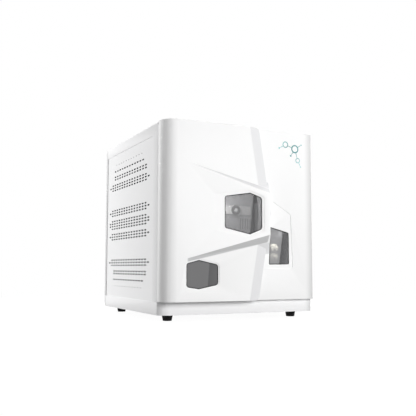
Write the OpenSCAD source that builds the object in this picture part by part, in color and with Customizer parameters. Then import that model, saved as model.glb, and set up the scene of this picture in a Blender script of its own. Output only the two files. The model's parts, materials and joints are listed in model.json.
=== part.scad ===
// Bench total organic carbon analyzer.
// Millimetres, +Z up, the front faces -Y, the left side with the hinges is -X.
// The origin is on the bench, under the middle of the whole object.

/* [Cabinet] */
// Width over the two side panels
case_w = 500; // [480:1:560]
// Depth from the front of the skirt to the rear panel
case_d = 516; // [500:1:600]
// Height from the underside of the base to the top
case_h = 542.5; // [536:0.5:600]
// Height of the base skirt
skirt_h = 36.5; // [32:0.5:44]
// Thickness of the cabinet sheet
sheet = 1.5; // [1:0.1:2]
// Radius of the bend along the top edges
bend_r = 6; // [4:0.5:10]
// Radius of the rear corners seen from the side
rear_r = 20; // [14:1:26]
// Height of the rubber feet
foot_h = 18; // [12:1:24]
// Largest diameter of a foot
foot_d = 32; // [24:1:36]
// Distance of the feet from the sides
foot_in_x = 45; // [36:1:60]
// Distance of the feet from the skirt and the rear
foot_in_y = 52; // [44:1:70]

/* [Door] */
// Distance of the door's face in front of the skirt
door_proj = 32; // [28:1:38]
// Thickness of the moulded door and front panel
wall = 3; // [2.4:0.1:3.6]
// Radius of the door's big vertical corner
corner_r = 40; // [36:1:42]
// How far the front mouldings reach behind the skirt's front
cover_back = 17.4; // [15:0.2:19]
// Seam between the front mouldings and the cabinet
seam_gap = 1.2; // [1:0.1:2]
// Distance of the edge's vertex from the left side
vertex_x = 343.6; // [336:0.2:352]
// Height of the edge's vertex above the base underside
vertex_z = 291; // [280:1:300]
// Width and height of the front that its lines and windows are drawn on
drawn = [500, 542.5];
// Lean of the edge above the vertex, in degrees
lean_up = 8.9; // [8:0.1:10]
// Lean of the edge below the vertex, in degrees
lean_down = 9.55; // [9:0.05:10.5]
// Width of the bevel along the edge
bevel_w = 37; // [30:1:42]
// Depth of the bevel along the edge
bevel_d = 10.2; // [8:0.1:12]
// Overlap of the door over the front panel
lap = 14; // [12:0.5:17]
// How far the wedge rises above the door's face at its right end
wedge_rise = 12; // [8:0.5:16]
// Distance of the wedge's left and right ends from the left side
wedge_ends = [66, 328];
// Heights of the wedge's lower and upper lines at its left end
wedge_left = [155, 426];
// Heights of the wedge's lower and upper edges at its right end
wedge_right = [227, 348];
// Growth of the wedge's lower and upper bevels per mm of rise
wedge_slope = [1.85, 1.25];
// Widest opening of the door, in degrees
door_swing = 110; // [90:1:112]

/* [Hinge] */
// Distance of the hinge pins from the left side
hinge_in = 10; // [9.5:0.25:11]
// Radius of a hinge pin
pin_r = 3; // [2:0.25:3.25]
// Thickness of a hinge arm
arm_t = 4; // [3:0.5:6]
// Heights of the two hinge arms above the base underside
hinge_z = [82, 476];

/* [Front panel] */
// Distance of the fixed front panel in front of the skirt
panel_proj = 13; // [10:1:16]
// Radius of the right vertical corner
right_r = 12; // [8:1:12]
// Gap between the door and the front panel
lap_gap = 0.4; // [0.3:0.1:0.8]

/* [Windows] */
// Thickness of the tinted panes
pane_t = 3; // [2:0.5:4]
// Width of the glued flange round each pane
pane_lap = 6; // [4:0.5:7]
// Depth of the shallow recess round the windows
recess = 1.6; // [1:0.1:2]

/* [Vents] */
// Thickness of the slotted side panels
vent_t = 1; // [0.8:0.1:1.5]
// Length of a vent slot
slot_l = 15; // [10:0.5:17]
// Height of a vent slot
slot_w = 4.6; // [3:0.1:5]
// Distance between neighbouring slots along a row
slot_pitch = 24.63; // [22:0.01:26]
// Distance between the rows of a band
row_pitch = 8.5; // [7.5:0.1:10]
// Distance of the first slot column behind the skirt's front
slot_start = 95.5; // [84:0.5:100]
// Width of the cabinet's front post beside the side panel
post_w = 36; // [30:1:40]
// Height of the cabinet's top band above the side panel
band_h = 35; // [30:1:40]
// Width of the rear post behind the side panel
rear_post = 16; // [14:1:22]

/* [Inside] */
// Depth of the wet compartment, from the skirt's front to the bulkhead
wet_depth = 190; // [182:1:205]
// Distance of the partition of the reagent bay from the left side
partition_x = 348; // [346:1:354]
// Outer radius of the combustion tube
tube_r = 13; // [11:0.5:14]
// Width of the furnace housing
furnace_w = 126; // [120:1:130]
// Height of the furnace housing
furnace_h = 186; // [170:1:195]
// Stroke of the syringe plunger
stroke = 45; // [30:1:48]
// Radial clearance of the shafts and pins in their bores
run_gap = 0.05; // [0.02:0.01:0.09]
// Clearance between pieces that don't touch
gap = 0.4; // [0.3:0.05:0.6]

/* [Rear] */
// Side length of the exhaust fan's frame
fan_w = 120; // [110:1:124]
// Depth of the exhaust fan's frame
fan_t = 25; // [20:1:32]
// Number of fan blades
blades = 7; // [5:1:11]
// Reach of the tube fittings behind the rear panel
rear_reach = 18; // [14:1:24]
// Outer radius of the gas tube that the fittings take
gas_tube_r = 3; // [2:0.5:4]

/* [Hidden] */
$fn = 64;
eps = 0.01;

// Places of the main planes
left = -case_w / 2;
right = case_w / 2;
base_z = foot_h;
seam_z = base_z + skirt_h;
top_z = base_z + case_h;
floor_z = base_z + sheet;
total_d = wedge_rise + door_proj + case_d + rear_reach;
y0 = -total_d / 2 + wedge_rise + door_proj;
face_y = y0 - door_proj;
panel_y = y0 - panel_proj;
rim_y = y0 + cover_back;
case_y = rim_y + seam_gap;
rear_y = y0 + case_d;
bulk_y = y0 + wet_depth;
door_z = seam_z + 0.5;

// The door turns about this vertical line, and its left rim sweeps this radius
hinge_x = left + hinge_in;
hinge_y = y0;
swing_r = norm([hinge_in, cover_back]);
frame_y = hinge_y + swing_r + 1.5;
frame_back = frame_y + sheet;

// Places on the drawn front, carried over to a cabinet of another width or height
function across(x) = left + x * case_w / drawn[0];
function up(z) = base_z + z * case_h / drawn[1];

// Places of the door's vertex and of the wedge's ends
vx = across(vertex_x);
vz = up(vertex_z);
wedge_x = [across(wedge_ends[0]), across(wedge_ends[1])];
wedge_tilt = atan(wedge_rise / (wedge_x[1] - wedge_x[0]));
wedge_draft = 12;

// Outlines are lists of [x, z] points from the drawn front's lower left corner
furnace_view = [[182.6, 243], [262.5, 226], [302.3, 242], [302.3, 334], [263.5, 347], [182.6, 334]];
furnace_recess = [[149.7, 236], [260, 219], [308.5, 238], [308.5, 337], [260, 353], [149.7, 339]];
pump_view = [[67, 77.5], [104.7, 71.5], [164.4, 83], [164.4, 139.5], [105, 152], [67, 142.5]];
reagent_view = [[341.4, 140], [411.5, 141], [411.5, 235.5], [347, 251.5]];
reagent_recess = [[336, 128], [424, 127], [418, 291], [350, 331]];
view_r = [7, 3, 11, 11, 3, 7];
pump_r = [8, 3, 9, 9, 3, 8];
reagent_r = [3, 4, 5, 2];

// Vent bands: height from the middle, then first column and count of each row
vent_mid = up(272);
vent_bands = [
  [0, [[1, 14], [0, 16], [0, 16], [1, 14]]],
  [39.8, [[1, 14], [0, 16], [1, 14]]],
  [125.5, [[1, 14], [0, 16], [1, 14]]],
  [157, [[1, 13], [1, 13]]],
  [180, [[2, 12]]]
];
small_row_z = 201;
small_slot = [6, 2.4];

// Places inside the cabinet
partition_at = across(partition_x);
furnace_x = partition_at - 5 - furnace_w / 2;
furnace_y = y0 + 80;
furnace_z = up(234);
tube_y = furnace_y + 52;
syringe_x = across(178);
syringe_y = y0 + 84;
tube_pump_x = across(104);
tube_pump_z = up(318);
fan_x = right - 140;
fan_z = up(395);
inlet_x = right - 70;
inlet_z = base_z + 84;
fitting_x = [left + 70, left + 110];
fitting_z = up(430);
drain_x = left + 90;
drain_z = base_z + 80;
reagent_x = across(388);
reagent_heights = [163, 191];
bottle_r = 27;
bottle_gap = 6;
bay_mid = (partition_at + sheet + right - 3 * sheet) / 2;
bottle_x = [for (s = [-1, 1]) bay_mid + s * (bottle_r + bottle_gap / 2)];
bottle_y = y0 + 128;
screw_r = 1.5;

// Small helpers

module block(lo, hi) translate(lo) cube(hi - lo);

// A flat outline in X and Z, carried from y_from back to y_to
module slab(y_from, y_to) translate([0, y_to, 0]) rotate([90, 0, 0]) linear_extrude(y_to - y_from) children();

// A flat outline in Y and Z, carried from x_from to x_to
module side_slab(x_from, x_to) translate([x_from, 0, 0]) rotate([90, 0, 90]) linear_extrude(x_to - x_from) children();

// A cylinder that runs back from y_from
module along_y(x, y_from, z, r, length) translate([x, y_from, z]) rotate([-90, 0, 0]) cylinder(r = r, h = length);

function unit(v) = v / norm(v);
function near(list, i) = list[(i + len(list)) % len(list)];

// The inward bisector of a corner, long enough to move both its sides by 1
function bisector(pts, i) =
  let (u = unit(near(pts, i - 1) - pts[i]), v = unit(near(pts, i + 1) - pts[i]))
  unit(u + v) / sin(acos(u * v) / 2);

// A convex outline with every side moved out by d
function grown(pts, d) = [for (i = [0:len(pts) - 1]) pts[i] - bisector(pts, i) * d];

function corner_arc(pts, i, r, n) =
  let (
    u = unit(near(pts, i - 1) - pts[i]),
    v = unit(near(pts, i + 1) - pts[i]),
    c = pts[i] + bisector(pts, i) * r,
    run = r / tan(acos(u * v) / 2),
    s = pts[i] + u * run - c,
    e = pts[i] + v * run - c,
    a0 = atan2(s[1], s[0]),
    turn = (atan2(e[1], e[0]) - a0 + 540) % 360 - 180
  )
  [for (k = [0:n]) c + r * [cos(a0 + turn * k / n), sin(a0 + turn * k / n)]];

// A convex outline with each corner rounded by its own radius
function rounded(pts, r, n = 4) = [for (i = [0:len(pts) - 1]) each corner_arc(pts, i, r[i], n)];

// A window's outline in the part's own X and Z, grown by d
function window(pts, r, d = 0) =
  rounded(grown([for (p = pts) [across(p[0]), up(p[1])]], d), [for (x = r) max(x + d, 0.5)]);

module rounded_square(w, h, r) {
  square([w, h - 2 * r], center = true);
  square([w - 2 * r, h], center = true);
  for (x = [-1, 1], y = [-1, 1]) translate([x * (w / 2 - r), y * (h / 2 - r)]) circle(r = r);
}

module slot(l, w) {
  square([l - w, w], center = true);
  for (s = [-1, 1]) translate([s * (l - w) / 2, 0]) circle(d = w);
}

// Sheet metal cabinet

// The cabinet seen from the side, with its rear corners rounded, inset by t
module side_profile(t) {
  h = case_h - 2 * t;
  r = rear_r - t;
  y_end = rear_y - t;
  translate([case_y, base_z + t]) square([y_end - r - case_y, h]);
  translate([y_end - r - eps, base_z + t + r]) square([r + eps, h - 2 * r]);
  for (z = [base_z + t + r, top_z - t - r]) translate([y_end - r, z]) circle(r = r);
}

// The cabinet seen from the front, with its top edges bent, inset by t
module front_profile(t) {
  w = case_w / 2 - t;
  r = bend_r - t;
  translate([-w, base_z + t]) square([2 * w, case_h - 2 * t - r]);
  translate([-w + r, base_z + t]) square([2 * (w - r), case_h - 2 * t]);
  for (s = [-1, 1]) translate([s * (w - r), top_z - t - r]) circle(r = r);
}

module cabinet_form(t) intersection() {
  side_slab(left - 1, right + 1) side_profile(t);
  slab(case_y - 1, rear_y + 1) front_profile(t);
}

panel_y0 = y0 + cover_back + seam_gap + post_w;
panel_y1 = rear_y - rear_post;
panel_z1 = top_z - band_h;

module wrap_cover() color("whitesmoke") {
  difference() {
    cabinet_form(0);
    intersection() {
      cabinet_form(sheet);
      block([left - 1, case_y - 1, base_z], [right + 1, rear_y, top_z]);
    }
    block([left - 1, case_y - 1, base_z - 1], [right + 1, rear_y + 1, seam_z]);
    block([left + sheet, case_y - 1, base_z], [right - sheet, case_y + sheet, top_z - rear_r]);
    block([left + sheet, rear_y - rear_r, base_z], [right - sheet, rear_y + 1, top_z - rear_r]);
    block([left - 1, panel_y0, seam_z - 1], [right + 1, panel_y1, panel_z1]);
  }
  // Flanges that the rear panel is screwed to
  for (s = [-1, 1]) difference() {
    translate([s * (case_w / 2 - sheet - 7), rear_y - 1.5 * sheet, (seam_z + top_z - rear_r) / 2])
      cube([14, sheet, top_z - rear_r - seam_z - 2], center = true);
    for (z = screw_heights) along_y(s * (case_w / 2 - 8), rear_y - 3 * sheet, z, screw_r, 10);
  }
}

screw_heights = [seam_z + 30, (seam_z + top_z) / 2, top_z - rear_r - 30];

module vent_panel() linear_extrude(vent_t) difference() {
  translate([panel_y0 - 8, seam_z - 8]) square([panel_y1 - panel_y0 + 14, panel_z1 - seam_z + 16]);
  for (band = vent_bands, s = band[0] == 0 ? [1] : [-1, 1], i = [0:len(band[1]) - 1]) {
    row = band[1][i];
    z = vent_mid + s * (band[0] * case_h / drawn[1] + (i - (len(band[1]) - 1) / 2) * row_pitch);
    for (k = [0:row[1] - 1]) translate([y0 + slot_start + (row[0] + k) * slot_pitch, z]) slot(slot_l, slot_w);
  }
  for (s = [-1, 1], k = [0:10])
    translate([y0 + slot_start + (k + 2.5) * slot_pitch, vent_mid + s * small_row_z * case_h / drawn[1]])
      slot(small_slot[0], small_slot[1]);
}

module left_vent_panel() color("whitesmoke")
  translate([left + sheet, 0, 0]) rotate([90, 0, 90]) vent_panel();

module right_vent_panel() color("whitesmoke")
  translate([right - sheet - vent_t, 0, 0]) rotate([90, 0, 90]) vent_panel();

foot_places = [for (x = [left + foot_in_x, right - foot_in_x], y = [y0 + foot_in_y, rear_y - foot_in_y]) [x, y]];

module base_tray() color("whitesmoke") difference() {
  intersection() {
    cabinet_form(0);
    block([left, case_y, base_z], [right, rear_y, seam_z - 0.4]);
  }
  intersection() {
    cabinet_form(sheet);
    block([left, case_y + sheet, base_z], [right, rear_y, top_z]);
  }
  // Holes of the foot screws
  for (p = foot_places) translate([p[0], p[1], base_z - 1]) cylinder(r = 2.5, h = 5);
  // Intake slots under the electronics
  for (i = [-5:5], j = [0:2]) translate([i * 22, y0 + 340 + j * 40, base_z - 1])
    linear_extrude(5) rotate(90) slot(30, 5);
}

module front_skirt() color("whitesmoke") difference() {
  translate([0, 0, base_z]) linear_extrude(skirt_h - 0.4) skirt_plan(0);
  translate([0, 0, base_z + wall]) linear_extrude(skirt_h) skirt_plan(wall);
}

// The skirt from above: its left corner swings back to the seam
module skirt_plan(t) {
  y_end = case_y - gap;
  run = corner_r - 7;
  r1 = (run * run + (y_end - y0) * (y_end - y0)) / (2 * (y_end - y0));
  intersection() {
    translate([left, y0]) square([case_w, y_end - y0 + (t > 0 ? 1 : 0)]);
    union() {
      translate([left + run, y0 + t]) square([case_w - run - right_r, corner_r]);
      translate([left + run, y0 + r1]) circle(r = r1 - t);
      translate([right - right_r, y0 + right_r]) circle(r = right_r - t);
      translate([right - right_r - 1, y0 + right_r]) square([right_r + 1 - t, corner_r]);
    }
  }
}

// The outline of a plate that fills the cabinet
module plate() {
  w = case_w / 2 - sheet - vent_t - gap;
  top = top_z - sheet - gap / 2;
  polygon([[-w, floor_z], [w, floor_z], [w, top - bend_r], [w - bend_r, top], [bend_r - w, top], [-w, top - bend_r]]);
}

module front_frame() color("gainsboro") difference() {
  union() {
    slab(frame_y, frame_back) plate();
    block([left + 20, frame_y, floor_z], [right - 20, frame_back + 14, floor_z + sheet]);
  }
  slab(frame_y - 1, frame_back + 1) union() {
    translate([left + 52, base_z + 52]) square([across(258) - left - 52, case_h - 80]);
    translate([0, base_z]) polygon([
      [across(250), 52], [across(296), 52], [across(330), up(200) - base_z],
      [across(330), up(370) - base_z], [across(300), case_h - 28], [across(250), case_h - 28]
    ]);
    translate([across(362), base_z + 60]) square([right - 38 - across(362), 220]);
  }
}

module bulkhead() color("silver") difference() {
  union() {
    slab(bulk_y, bulk_y + sheet) plate();
    block([left + 20, bulk_y, floor_z], [right - 20, bulk_y + 16, floor_z + sheet]);
  }
  for (x = [across(30), furnace_x + 90], z = [up(120), up(470)]) along_y(x, bulk_y - 1, z, 9, 5);
}

module partition() color("silver")
  block([partition_at, frame_back, floor_z + sheet], [partition_at + sheet, bulk_y, up(330)]);

rear_opening_r = fan_w / 2 - 4;

module rear_panel() color("whitesmoke") slab(rear_y - sheet, rear_y) difference() {
  translate([left + sheet + 0.2, seam_z]) square([case_w - 2 * sheet - 0.4, top_z - rear_r - seam_z]);
  translate([fan_x, fan_z]) circle(r = rear_opening_r);
  for (x = [-1, 1], z = [-1, 1]) translate([fan_x + x * fan_pitch, fan_z + z * fan_pitch]) circle(r = 2);
  translate([inlet_x, inlet_z]) square([inlet_size[0], inlet_size[1]], center = true);
  for (x = fitting_x) translate([x, fitting_z]) circle(r = gas_tube_r + 3);
  translate([drain_x, drain_z]) circle(r = 5);
  for (s = [-1, 1], z = screw_heights) translate([s * (case_w / 2 - 8), z]) circle(r = screw_r);
  for (i = [0:5], j = [0:7]) translate([left + 76 + i * 24, up(180) + j * 12]) slot(17, 4);
}

fan_pitch = fan_w / 2 - 7.5;
inlet_size = [58, 27];

module rear_screws() color("silver") {
  for (s = [-1, 1], z = screw_heights) {
    along_y(s * (case_w / 2 - 8), rear_y - 7, z, screw_r - run_gap, 7 + eps);
    along_y(s * (case_w / 2 - 8), rear_y, z, 3, 2);
  }
  for (x = [-1, 1], z = [-1, 1]) {
    along_y(fan_x + x * fan_pitch, rear_y + 1.5, fan_z + z * fan_pitch, 3.4, 2);
    along_y(fan_x + x * fan_pitch, rear_y - 9, fan_z + z * fan_pitch, 2 - run_gap, 10.5 + eps);
  }
}

module rubber_feet() color("black") for (p = foot_places) translate([p[0], p[1], 0])
  difference() {
    cylinder(d1 = foot_d * 0.79, d2 = foot_d, h = foot_h);
    translate([0, 0, -1]) cylinder(r = 5, h = 6);
    cylinder(r = 2.5, h = foot_h + 1);
  }

module foot_screws() color("silver") for (p = foot_places) translate([p[0], p[1], 0]) {
  translate([0, 0, 5 - 2.6]) cylinder(r = 4.4, h = 2.6);
  translate([0, 0, 5 - eps]) cylinder(r = 2.5 - run_gap, h = foot_h - 1 + sheet);
}

// Front mouldings

// X of the door's right edge at height z, moved in by t
function edge_x(z, t) =
  let (lean = z > vz ? lean_up : lean_down)
  vx - t / cos(lean) - abs(z - vz) * tan(lean);

// The door from the front, moved in by t, and its right edge by a further side
module door_outline(t, side = 0) {
  lo = door_z + t;
  hi = top_z - t;
  r = 12;
  in = t + side;
  polygon([
    [left - 1, lo],
    for (k = [0:4]) let (a = -90 + (90 - lean_down) * k / 4)
      [edge_x(lo + r, in + r) + r * cos(a), lo + r + r * sin(a)],
    [edge_x(vz, in), vz],
    for (k = [0:4]) let (a = lean_up + (90 - lean_up) * k / 4)
      [edge_x(hi - r, in + r) + r * cos(a), hi - r + r * sin(a)],
    [left - 1, hi]
  ]);
}

// The door from above, moved in by t: the corner is one big arc
module door_plan(t, y_end) intersection() {
  translate([left, face_y]) square([vx - left + 10, y_end - face_y]);
  union() {
    translate([left + corner_r, face_y + t]) square([vx - left, case_d]);
    translate([left + t, face_y + corner_r]) square([corner_r, case_d]);
    translate([left + corner_r, face_y + corner_r]) circle(r = corner_r - t);
  }
}

// What the bevel along the edge cuts off, for a wall moved in by t
module edge_bevel(t) {
  slope = atan(bevel_d / bevel_w);
  reach = 120;
  translate([vx, 0, vz]) for (a = [-lean_up, lean_down]) rotate([0, a, 0])
    translate([-t * sin(slope), t * cos(slope), -case_h]) linear_extrude(2 * case_h) polygon([
      [-bevel_w, face_y],
      [reach, face_y + bevel_d * (1 + reach / bevel_w)],
      [reach, face_y - reach],
      [-bevel_w, face_y - reach]
    ]);
}

// The raised wedge: its front leans out of the door's face, and bevels run along its long sides
module wedge(t) {
  x = [wedge_x[0], wedge_x[1], wedge_x[1] + wedge_draft];
  y_back = panel_y - lap_gap;
  run = x[1] - x[0];
  y_at = [for (v = x) face_y - wedge_rise * (v - x[0]) / run];
  z_at = [for (side = [0, 1]) [for (v = x)
    up(wedge_left[side] + (wedge_right[side] - wedge_left[side]) * (v - x[0]) / run)]];
  sign = [-1, 1];
  back = [for (side = [0, 1]) [for (i = [0:2]) z_at[side][i] + sign[side] * wedge_slope[side] * (y_back - y_at[i])]];
  translate([-t, t, 0]) polyhedron(
    points = [
      [x[0], y_at[0], z_at[0][0]], [x[1], y_at[1], z_at[0][1]],
      [x[1], y_at[1], z_at[1][1]], [x[0], y_at[0], z_at[1][0]],
      [x[0], y_back, back[0][0]], [x[2], y_back, back[0][2]],
      [x[2], y_back, back[1][2]], [x[0], y_back, back[1][0]]
    ],
    faces = [[3, 2, 1, 0], [4, 5, 6, 7], [5, 4, 0, 1], [6, 5, 1, 2], [7, 6, 2, 3], [4, 7, 3, 0]]
  );
}

// The door's outside, moved in by t: a deep body, and a shallow lip that laps over the front panel
module door_form(t) {
  difference() {
    union() {
      intersection() {
        translate([0, 0, door_z - 1]) linear_extrude(case_h) door_plan(t, rim_y + (t > 0 ? 1 : 0));
        slab(face_y - 1, rim_y + 5) door_outline(t, lap);
      }
      intersection() {
        translate([0, 0, door_z - 1]) linear_extrude(case_h) door_plan(t, panel_y - lap_gap + (t > 0 ? 1 : 0));
        slab(face_y - 1, rim_y + 5) difference() {
          door_outline(t);
          if (t > 0) door_outline(0, lap);
        }
      }
    }
    edge_bevel(t);
  }
  intersection() {
    wedge(t);
    slab(face_y - wedge_rise - 1, panel_y) translate([left, door_z + t]) square([case_w, case_h]);
  }
}

// Places things on the wedge's leaning front, with y = 0 on it
module on_wedge() translate([wedge_x[0], face_y, 0]) rotate([0, 0, -wedge_tilt])
  translate([-wedge_x[0], 0, 0]) children();

module door_shell() color("white") difference() {
  union() {
    difference() {
      door_form(0);
      door_form(wall);
    }
    for (z = magnet_z) along_y(magnet_x(z), face_y + bevel_d, z, magnet_r + 1, disc_y - face_y - bevel_d);
  }
  on_wedge() {
    slab(-5, recess) polygon(window(furnace_recess, view_r));
    slab(-5, 10 + wall) polygon(window(furnace_view, view_r));
  }
  slab(face_y - 5, face_y + recess) polygon(window(pump_view, pump_r, 3));
  slab(face_y - 5, face_y + 10 + wall) polygon(window(pump_view, pump_r));
  // Relief that lets the top corner turn past the cabinet
  difference() {
    block([left - 1, rim_y - 7, top_z - 9], [hinge_x, rim_y + 1, top_z + 1]);
    translate([hinge_x, hinge_y, top_z - 10]) cylinder(r = cover_back + seam_gap - gap, h = 12);
  }
}

// A pane that fills its window and is glued behind it by a flange
module pane(view, r) {
  slab(recess + 0.6, wall + 1) polygon(window(view, r, -0.2));
  slab(wall, wall + pane_t) polygon(window(view, r, pane_lap));
}

module furnace_window() color("dimgray") on_wedge() pane(furnace_view, view_r);

module pump_window() color("dimgray") translate([0, face_y, 0]) pane(pump_view, pump_r);

module reagent_window() color("dimgray") translate([0, panel_y, 0]) pane(reagent_view, reagent_r);

// The fixed front panel, moved in by t: its left side follows the door's edge
module panel_form(t) intersection() {
  translate([0, 0, door_z - 1]) linear_extrude(case_h) {
    r = right_r - t;
    y_end = rim_y + (t > 0 ? 1 : 0);
    translate([left, panel_y + t]) square([case_w - right_r, y_end - panel_y - t]);
    translate([left, panel_y + right_r]) square([case_w - t, y_end - panel_y - right_r]);
    translate([right - right_r, panel_y + right_r]) circle(r = r);
  }
  slab(panel_y - 1, rim_y + 5) polygon([
    [edge_x(door_z, lap - 1.5 - t), door_z + t],
    [right, door_z + t],
    [right, top_z - t],
    [edge_x(top_z, lap - 1.5 - t), top_z - t],
    [edge_x(vz, lap - 1.5 - t), vz]
  ]);
}

magnet_z = [up(126), up(470)];
magnet_r = 3;
disc_t = 1.5;
disc_y = panel_y - lap_gap - disc_t;

// The catches sit in the middle of the lip
function magnet_x(z) = edge_x(z, lap / 2);

module front_panel() color("white") difference() {
  union() {
    difference() {
      panel_form(0);
      panel_form(wall);
    }
    for (z = magnet_z) along_y(magnet_x(z), panel_y + 1, z, magnet_r + 2, 9);
  }
  for (z = magnet_z) along_y(magnet_x(z), panel_y - 1, z, magnet_r + run_gap, 8);
  slab(panel_y - 5, panel_y + recess) polygon(window(reagent_recess, [6, 10, 10, 6]));
  slab(panel_y - 5, panel_y + 10 + wall) polygon(window(reagent_view, reagent_r));
}

module catch_magnets() color("dimgray") for (z = magnet_z)
  along_y(magnet_x(z), panel_y + 0.1, z, magnet_r, 6.9);

// Steel discs on bosses inside the door, which the magnets hold
module strike_discs() color("silver") for (z = magnet_z) along_y(magnet_x(z), disc_y, z, magnet_r, disc_t);

// Hinges

arm_r = 3;

// Each arm reaches forward from the frame and left to its pin, inside the door
module hinge_arms() color("silver") for (h = hinge_z) translate([0, 0, up(h)]) linear_extrude(arm_t)
  difference() {
    union() {
      translate([hinge_x, hinge_y]) circle(r = pin_r + 2.5);
      translate([hinge_x - arm_r + 0.5, hinge_y - 7.5]) square([2 * arm_r, 7.5]);
      translate([hinge_x + 0.5, hinge_y - 7.5]) circle(r = arm_r);
      translate([hinge_x + 0.5, hinge_y - 7.5 - arm_r]) square([swing_r + 17.5, 2 * arm_r]);
      translate([hinge_x + swing_r + 4, hinge_y - 7.5 - arm_r]) square([14, frame_y - hinge_y + 7.5 + arm_r]);
    }
    translate([hinge_x, hinge_y]) circle(r = pin_r);
  }

lug_h = 14;

module hinge_pins() color("dimgray") for (h = hinge_z)
  translate([hinge_x, hinge_y, up(h)]) cylinder(r = pin_r, h = arm_t + lug_h);

module door_hinge_lugs() color("gainsboro") for (h = hinge_z)
  translate([0, 0, up(h) + arm_t + 0.3]) linear_extrude(lug_h) difference() {
    union() {
      translate([hinge_x, hinge_y]) circle(r = pin_r + 2.4);
      polygon([
        [left + wall, hinge_y + 9], [left + wall, rim_y - 1], [hinge_x - 1, rim_y - 1],
        [hinge_x + pin_r + 2, hinge_y + 2], [hinge_x - pin_r - 1.6, hinge_y + 1]
      ]);
    }
    translate([hinge_x, hinge_y]) circle(r = pin_r + run_gap);
  }

// Furnace and combustion tube

clamp_z = furnace_z + 72;
heater_r = 38;
sight_x = furnace_x - 3;

// An open-backed sheet box round the heater, which rings the combustion tube
module furnace_housing() color("darkgray") difference() {
  union() {
    difference() {
      block([furnace_x - furnace_w / 2, furnace_y, furnace_z], [furnace_x + furnace_w / 2, bulk_y, furnace_z + furnace_h]);
      block([furnace_x - furnace_w / 2 + sheet, furnace_y + sheet, furnace_z + sheet],
        [furnace_x + furnace_w / 2 - sheet, bulk_y + 1, furnace_z + furnace_h - sheet]);
    }
    translate([furnace_x, tube_y, furnace_z]) cylinder(r = heater_r, h = furnace_h);
  }
  translate([furnace_x, tube_y, furnace_z - 1]) cylinder(r = tube_r + 2, h = furnace_h + 2);
  // Cooling slots in the front sheet
  for (i = [0:4]) translate([furnace_x + 14 + i * 8.6, furnace_y - 1, furnace_z + 14]) cube([3.6, 4, 34]);
  for (i = [0:11]) translate([furnace_x - 48 + i * 8.6, furnace_y - 1, furnace_z + furnace_h - 50]) cube([3.6, 4, 36]);
}

module furnace_clamp() color("lightgray") difference() {
  block([furnace_x - furnace_w / 2 + 3, furnace_y - 4, clamp_z - 13], [furnace_x + furnace_w / 2 - 13, furnace_y, clamp_z + 13]);
  along_y(sight_x, furnace_y - 5, clamp_z, 10 + run_gap, 6);
}

module sight_port_ring() color("black") translate([sight_x, furnace_y, clamp_z]) rotate([90, 0, 0])
  rotate_extrude() polygon([[6, 0], [10, 0], [10, 4], [15, 4], [15, 9], [13, 12], [9, 12], [8, 10], [6, 10]]);

module sight_port_lens() color("lightcyan") translate([sight_x, furnace_y, clamp_z]) rotate([90, 0, 0])
  rotate_extrude() polygon([[0, 0], [5.9, 0], [5.9, 8.4], [4.4, 9.4], [2.3, 10], [0, 10.2]]);

tube_top = furnace_z + furnace_h + 34;
tube_low = furnace_z - 14;

module combustion_tube() color("lightcyan") translate([furnace_x, tube_y, 0]) rotate_extrude() polygon([
  [tube_r - 2, tube_top], [tube_r, tube_top], [tube_r, tube_low], [4, tube_low - 8], [4, tube_low - 34],
  [2.5, tube_low - 34], [2.5, tube_low - 7], [tube_r - 2, tube_low + 2]
]);

module catalyst_bed() color("dimgray") translate([furnace_x, tube_y, tube_low + 2 + gap])
  cylinder(r = tube_r - 2 - gap / 2, h = 110);

head_z = tube_top - 14;

module injection_head() color("ivory") translate([furnace_x, tube_y, head_z]) {
  difference() {
    cylinder(r = tube_r + 9, h = 34);
    translate([0, 0, -1]) cylinder(r = tube_r + run_gap, h = 15);
    translate([0, 0, 20]) cylinder(r = 3, h = 20);
    cylinder(r = 1.5, h = 40);
  }
  for (a = [200, 340]) rotate([0, 0, a]) translate([tube_r + 8, 0, 24]) rotate([0, 90, 0])
    difference() {
      cylinder(r = 5, h = 12);
      translate([0, 0, 2]) cylinder(r = 1.6, h = 12);
    }
}

module head_bracket() color("silver") difference() {
  union() {
    block([furnace_x - 30, tube_y - 10, head_z - 3], [furnace_x + 30, bulk_y, head_z]);
    block([furnace_x - 30, bulk_y - 3, head_z - 3], [furnace_x + 30, bulk_y, head_z + 26]);
  }
  translate([furnace_x, tube_y, head_z - 4]) cylinder(r = tube_r + gap, h = 5);
  block([furnace_x - tube_r - gap, tube_y - 20, head_z - 4], [furnace_x + tube_r + gap, tube_y, head_z + 1]);
}

module tube_nut() color("ivory") translate([furnace_x, tube_y, tube_low - 36]) difference() {
  cylinder(r = 10, h = 24, $fn = 6);
  translate([0, 0, 2]) cylinder(r = 4 + run_gap, h = 30);
  translate([0, 0, -1]) cylinder(r = 1.5, h = 30);
}

// Syringe pump: the arm of the plunger runs in a slot of the body

pump_half = 42;
barrel_r = 6;
bore_r = 4.6;
barrel_z = base_z + 90;
barrel_h = stroke + 16;
arm_z = barrel_z - 14;
valve_z = barrel_z + barrel_h;
pump_face = syringe_y + 18;

module syringe_pump_body() color("darkgray") difference() {
  block([syringe_x - pump_half, pump_face, floor_z], [syringe_x + pump_half, bulk_y, valve_z + 24]);
  block([syringe_x - pump_half + 2 * sheet, pump_face + 2 * sheet, floor_z + 2 * sheet],
    [syringe_x + pump_half - 2 * sheet, bulk_y + 1, valve_z + 24 - 2 * sheet]);
  // Slot for the drive arm over its whole stroke
  block([syringe_x - 5, pump_face - 1, arm_z - stroke - 5 - gap], [syringe_x + 5, pump_face + 16, arm_z + 5 + gap]);
}

module syringe_barrel() color("lightcyan") translate([syringe_x, syringe_y, barrel_z]) difference() {
  cylinder(r = barrel_r, h = barrel_h);
  translate([0, 0, -1]) cylinder(r = bore_r, h = barrel_h - 3);
  cylinder(r = 1.5, h = barrel_h + 1);
}

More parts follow.
